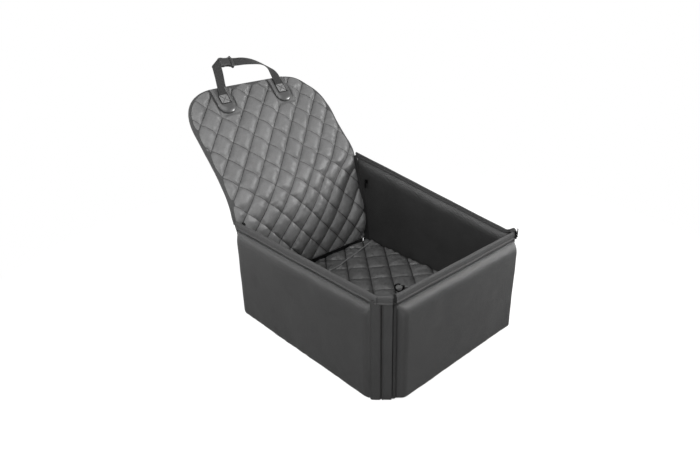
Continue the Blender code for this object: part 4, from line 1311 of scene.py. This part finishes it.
def make_zips():
    """Front zips in the slanted corners' grooves, and rear ones that close the walls to the back."""
    for side, word in ((-1, "left"), (1, "right")):
        wall = side_place(side)

        def front_zip(x, y, z, wall=wall):
            t, deep = GROOVE_CENTRE + x, 0.0042 + y
            return wall(SIDE_FRONT + t * SLANT - deep * SLANT, t * SLANT + deep * SLANT, z)

        def rear_zip(x, y, z, wall=wall):
            return wall(-REAR_ZIP_Y - x, WALL + 0.0020 - y, z)

        def far_zip(x, y, z):
            """Bridges the corner between the back's right edge and the far wall, floor to rim."""
            ends = side_place(1)(-(SIDE_BACK - 0.0075), WALL - 0.0020, z)
            edge_x, edge_y = back_edge_line(ends[..., 2])
            ragged = 0.0009 * unevenness(z, 0 * z, 66, 0.0065)
            along = (x - REAR_TAPE[0]) / (REAR_TAPE[1] - REAR_TAPE[0])
            start_x, start_y = edge_x - 0.0075, edge_y + 0.0050
            across_y = start_y + (ends[..., 1] - start_y) * along + ragged * (1 - along)
            return np.stack([start_x + (ends[..., 0] - start_x) * along, across_y - y, ends[..., 2]], -1)

        zip_top = RIM - 0.0062
        make_zip(f"front_{word}_zip", front_zip, WALL_FOOT, zip_top, FRONT_TAPE, word + "_wall")
        if side > 0:
            make_zip("rear_right_zip", far_zip, FOOT + 0.012, RIM - 0.0015, REAR_TAPE, "right_wall")
        else:
            make_zip("rear_left_zip", rear_zip, FLOOR_TOP + 0.002, zip_top, REAR_TAPE, "left_wall")


make_floor()
make_base_sheet()
make_zips()

# Solids that keep their own shape and only take a finish
KEPT = {
    "board": ["base_board", "left_board", "front_board"],
    "foam": ["base_foam"],
    "webbing": ["tether_anchor"],
    "metal": ["hook_swivel_eye", "hook_body", "hook_gate", "hook_gate_pin"] + [
        f"{end}_{word}_{piece}" for end in ("front", "rear") for word in ("left", "right")
        for piece in ("zip_slider", "pull_tab")],
}
for finish, nodes in KEPT.items():
    for node in nodes:
        dress(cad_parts[node], finish)


# Floor, light and view
def seen_directly(nodes):
    """1 where the camera looks, straight, in a mirror or through glass; 0 for light on things."""
    camera, glossy, through = (nodes.node("ShaderNodeLightPath", {}, {}, f"Is {kind} Ray")
                               for kind in ("Camera", "Glossy", "Transmission"))
    return camera.maths("MAXIMUM", camera.maths("MAXIMUM", camera, glossy), through)


def make_stage():
    """White floor: it takes the soft shadow near the object and is plain white further off."""
    pick_only()
    bpy.ops.mesh.primitive_plane_add(size=14, location=(0, 0, -0.0005))
    floor = bpy.context.object
    floor.name = "floor"
    material = bpy.data.materials.new("studio_floor")
    nodes = Nodes(material, empty=True)
    diffuse = nodes.node("ShaderNodeBsdfDiffuse", {}, {"Color": (*grey(0.40), 1)})
    glow = nodes.node("ShaderNodeEmission", {}, {"Strength": 0.78})
    lit = nodes.node("ShaderNodeAddShader", {}, {0: diffuse, 1: glow})
    camera = nodes.node("ShaderNodeLightPath", {}, {}, "Is Camera Ray")
    near = nodes.node("ShaderNodeMixShader", {}, {0: camera, 1: diffuse, 2: lit})
    white = nodes.node("ShaderNodeEmission", {}, {"Strength": 1.0})
    place = nodes.node("ShaderNodeTexCoord", {}, {}, "Object")
    distance = nodes.node("ShaderNodeVectorMath", {"operation": "LENGTH"}, {0: place}, "Value")
    far = nodes.node("ShaderNodeMapRange", {}, {"Value": distance, "From Min": 0.55, "From Max": 1.1})
    backdrop = nodes.node("ShaderNodeMixShader", {}, {0: far, 1: near, 2: white})
    nodes.surface("ShaderNodeOutputMaterial", nodes.node(
        "ShaderNodeMixShader", {}, {0: seen_directly(nodes), 1: diffuse, 2: backdrop}))
    floor.data.materials.append(material)


def make_light():
    world = bpy.data.worlds.new("studio")
    bpy.context.scene.world = world
    nodes = Nodes(world, empty=True)
    lit, white = (nodes.node("ShaderNodeBackground", {}, {"Color": (*grey(1.0), 1), "Strength": strength})
                  for strength in (0.24, 1.0))
    nodes.surface("ShaderNodeOutputWorld", nodes.node(
        "ShaderNodeMixShader", {}, {0: seen_directly(nodes), 1: lit, 2: white}))
    lamps = [
        ("overhead_softbox", (-0.25, -0.55, 1.8), (0.0, 0.2, 0.3), (1.4, 1.1), 12),
        ("rear_softbox", (-1.3, 1.6, 1.4), (0, 0.0, 0.2), (0.6, 0.6), 15),
        ("right_softbox", (1.9, -1.1, 1.15), (0, -0.1, 0.2), (0.5, 0.5), 46),
        ("left_softbox", (-1.9, 0.1, 1.45), (0, 0.0, 0.2), (0.6, 0.6), 22),
        ("front_left_softbox", (-1.3, -1.6, 0.85), (0, 0.0, 0.2), (0.7, 0.7), 12),
    ]
    for name, place, aim, size, power in lamps:
        data = bpy.data.lights.new(name, "AREA")
        data.shape = "RECTANGLE"
        data.size, data.size_y = size
        data.energy = power
        lamp = bpy.data.objects.new(name, data)
        bpy.context.scene.collection.objects.link(lamp)
        lamp.location = place
        lamp.rotation_euler = (Vector(aim) - Vector(place)).to_track_quat("-Z", "Y").to_euler()


make_stage()
make_light()
bpy.context.scene.view_settings.view_transform = "Standard"
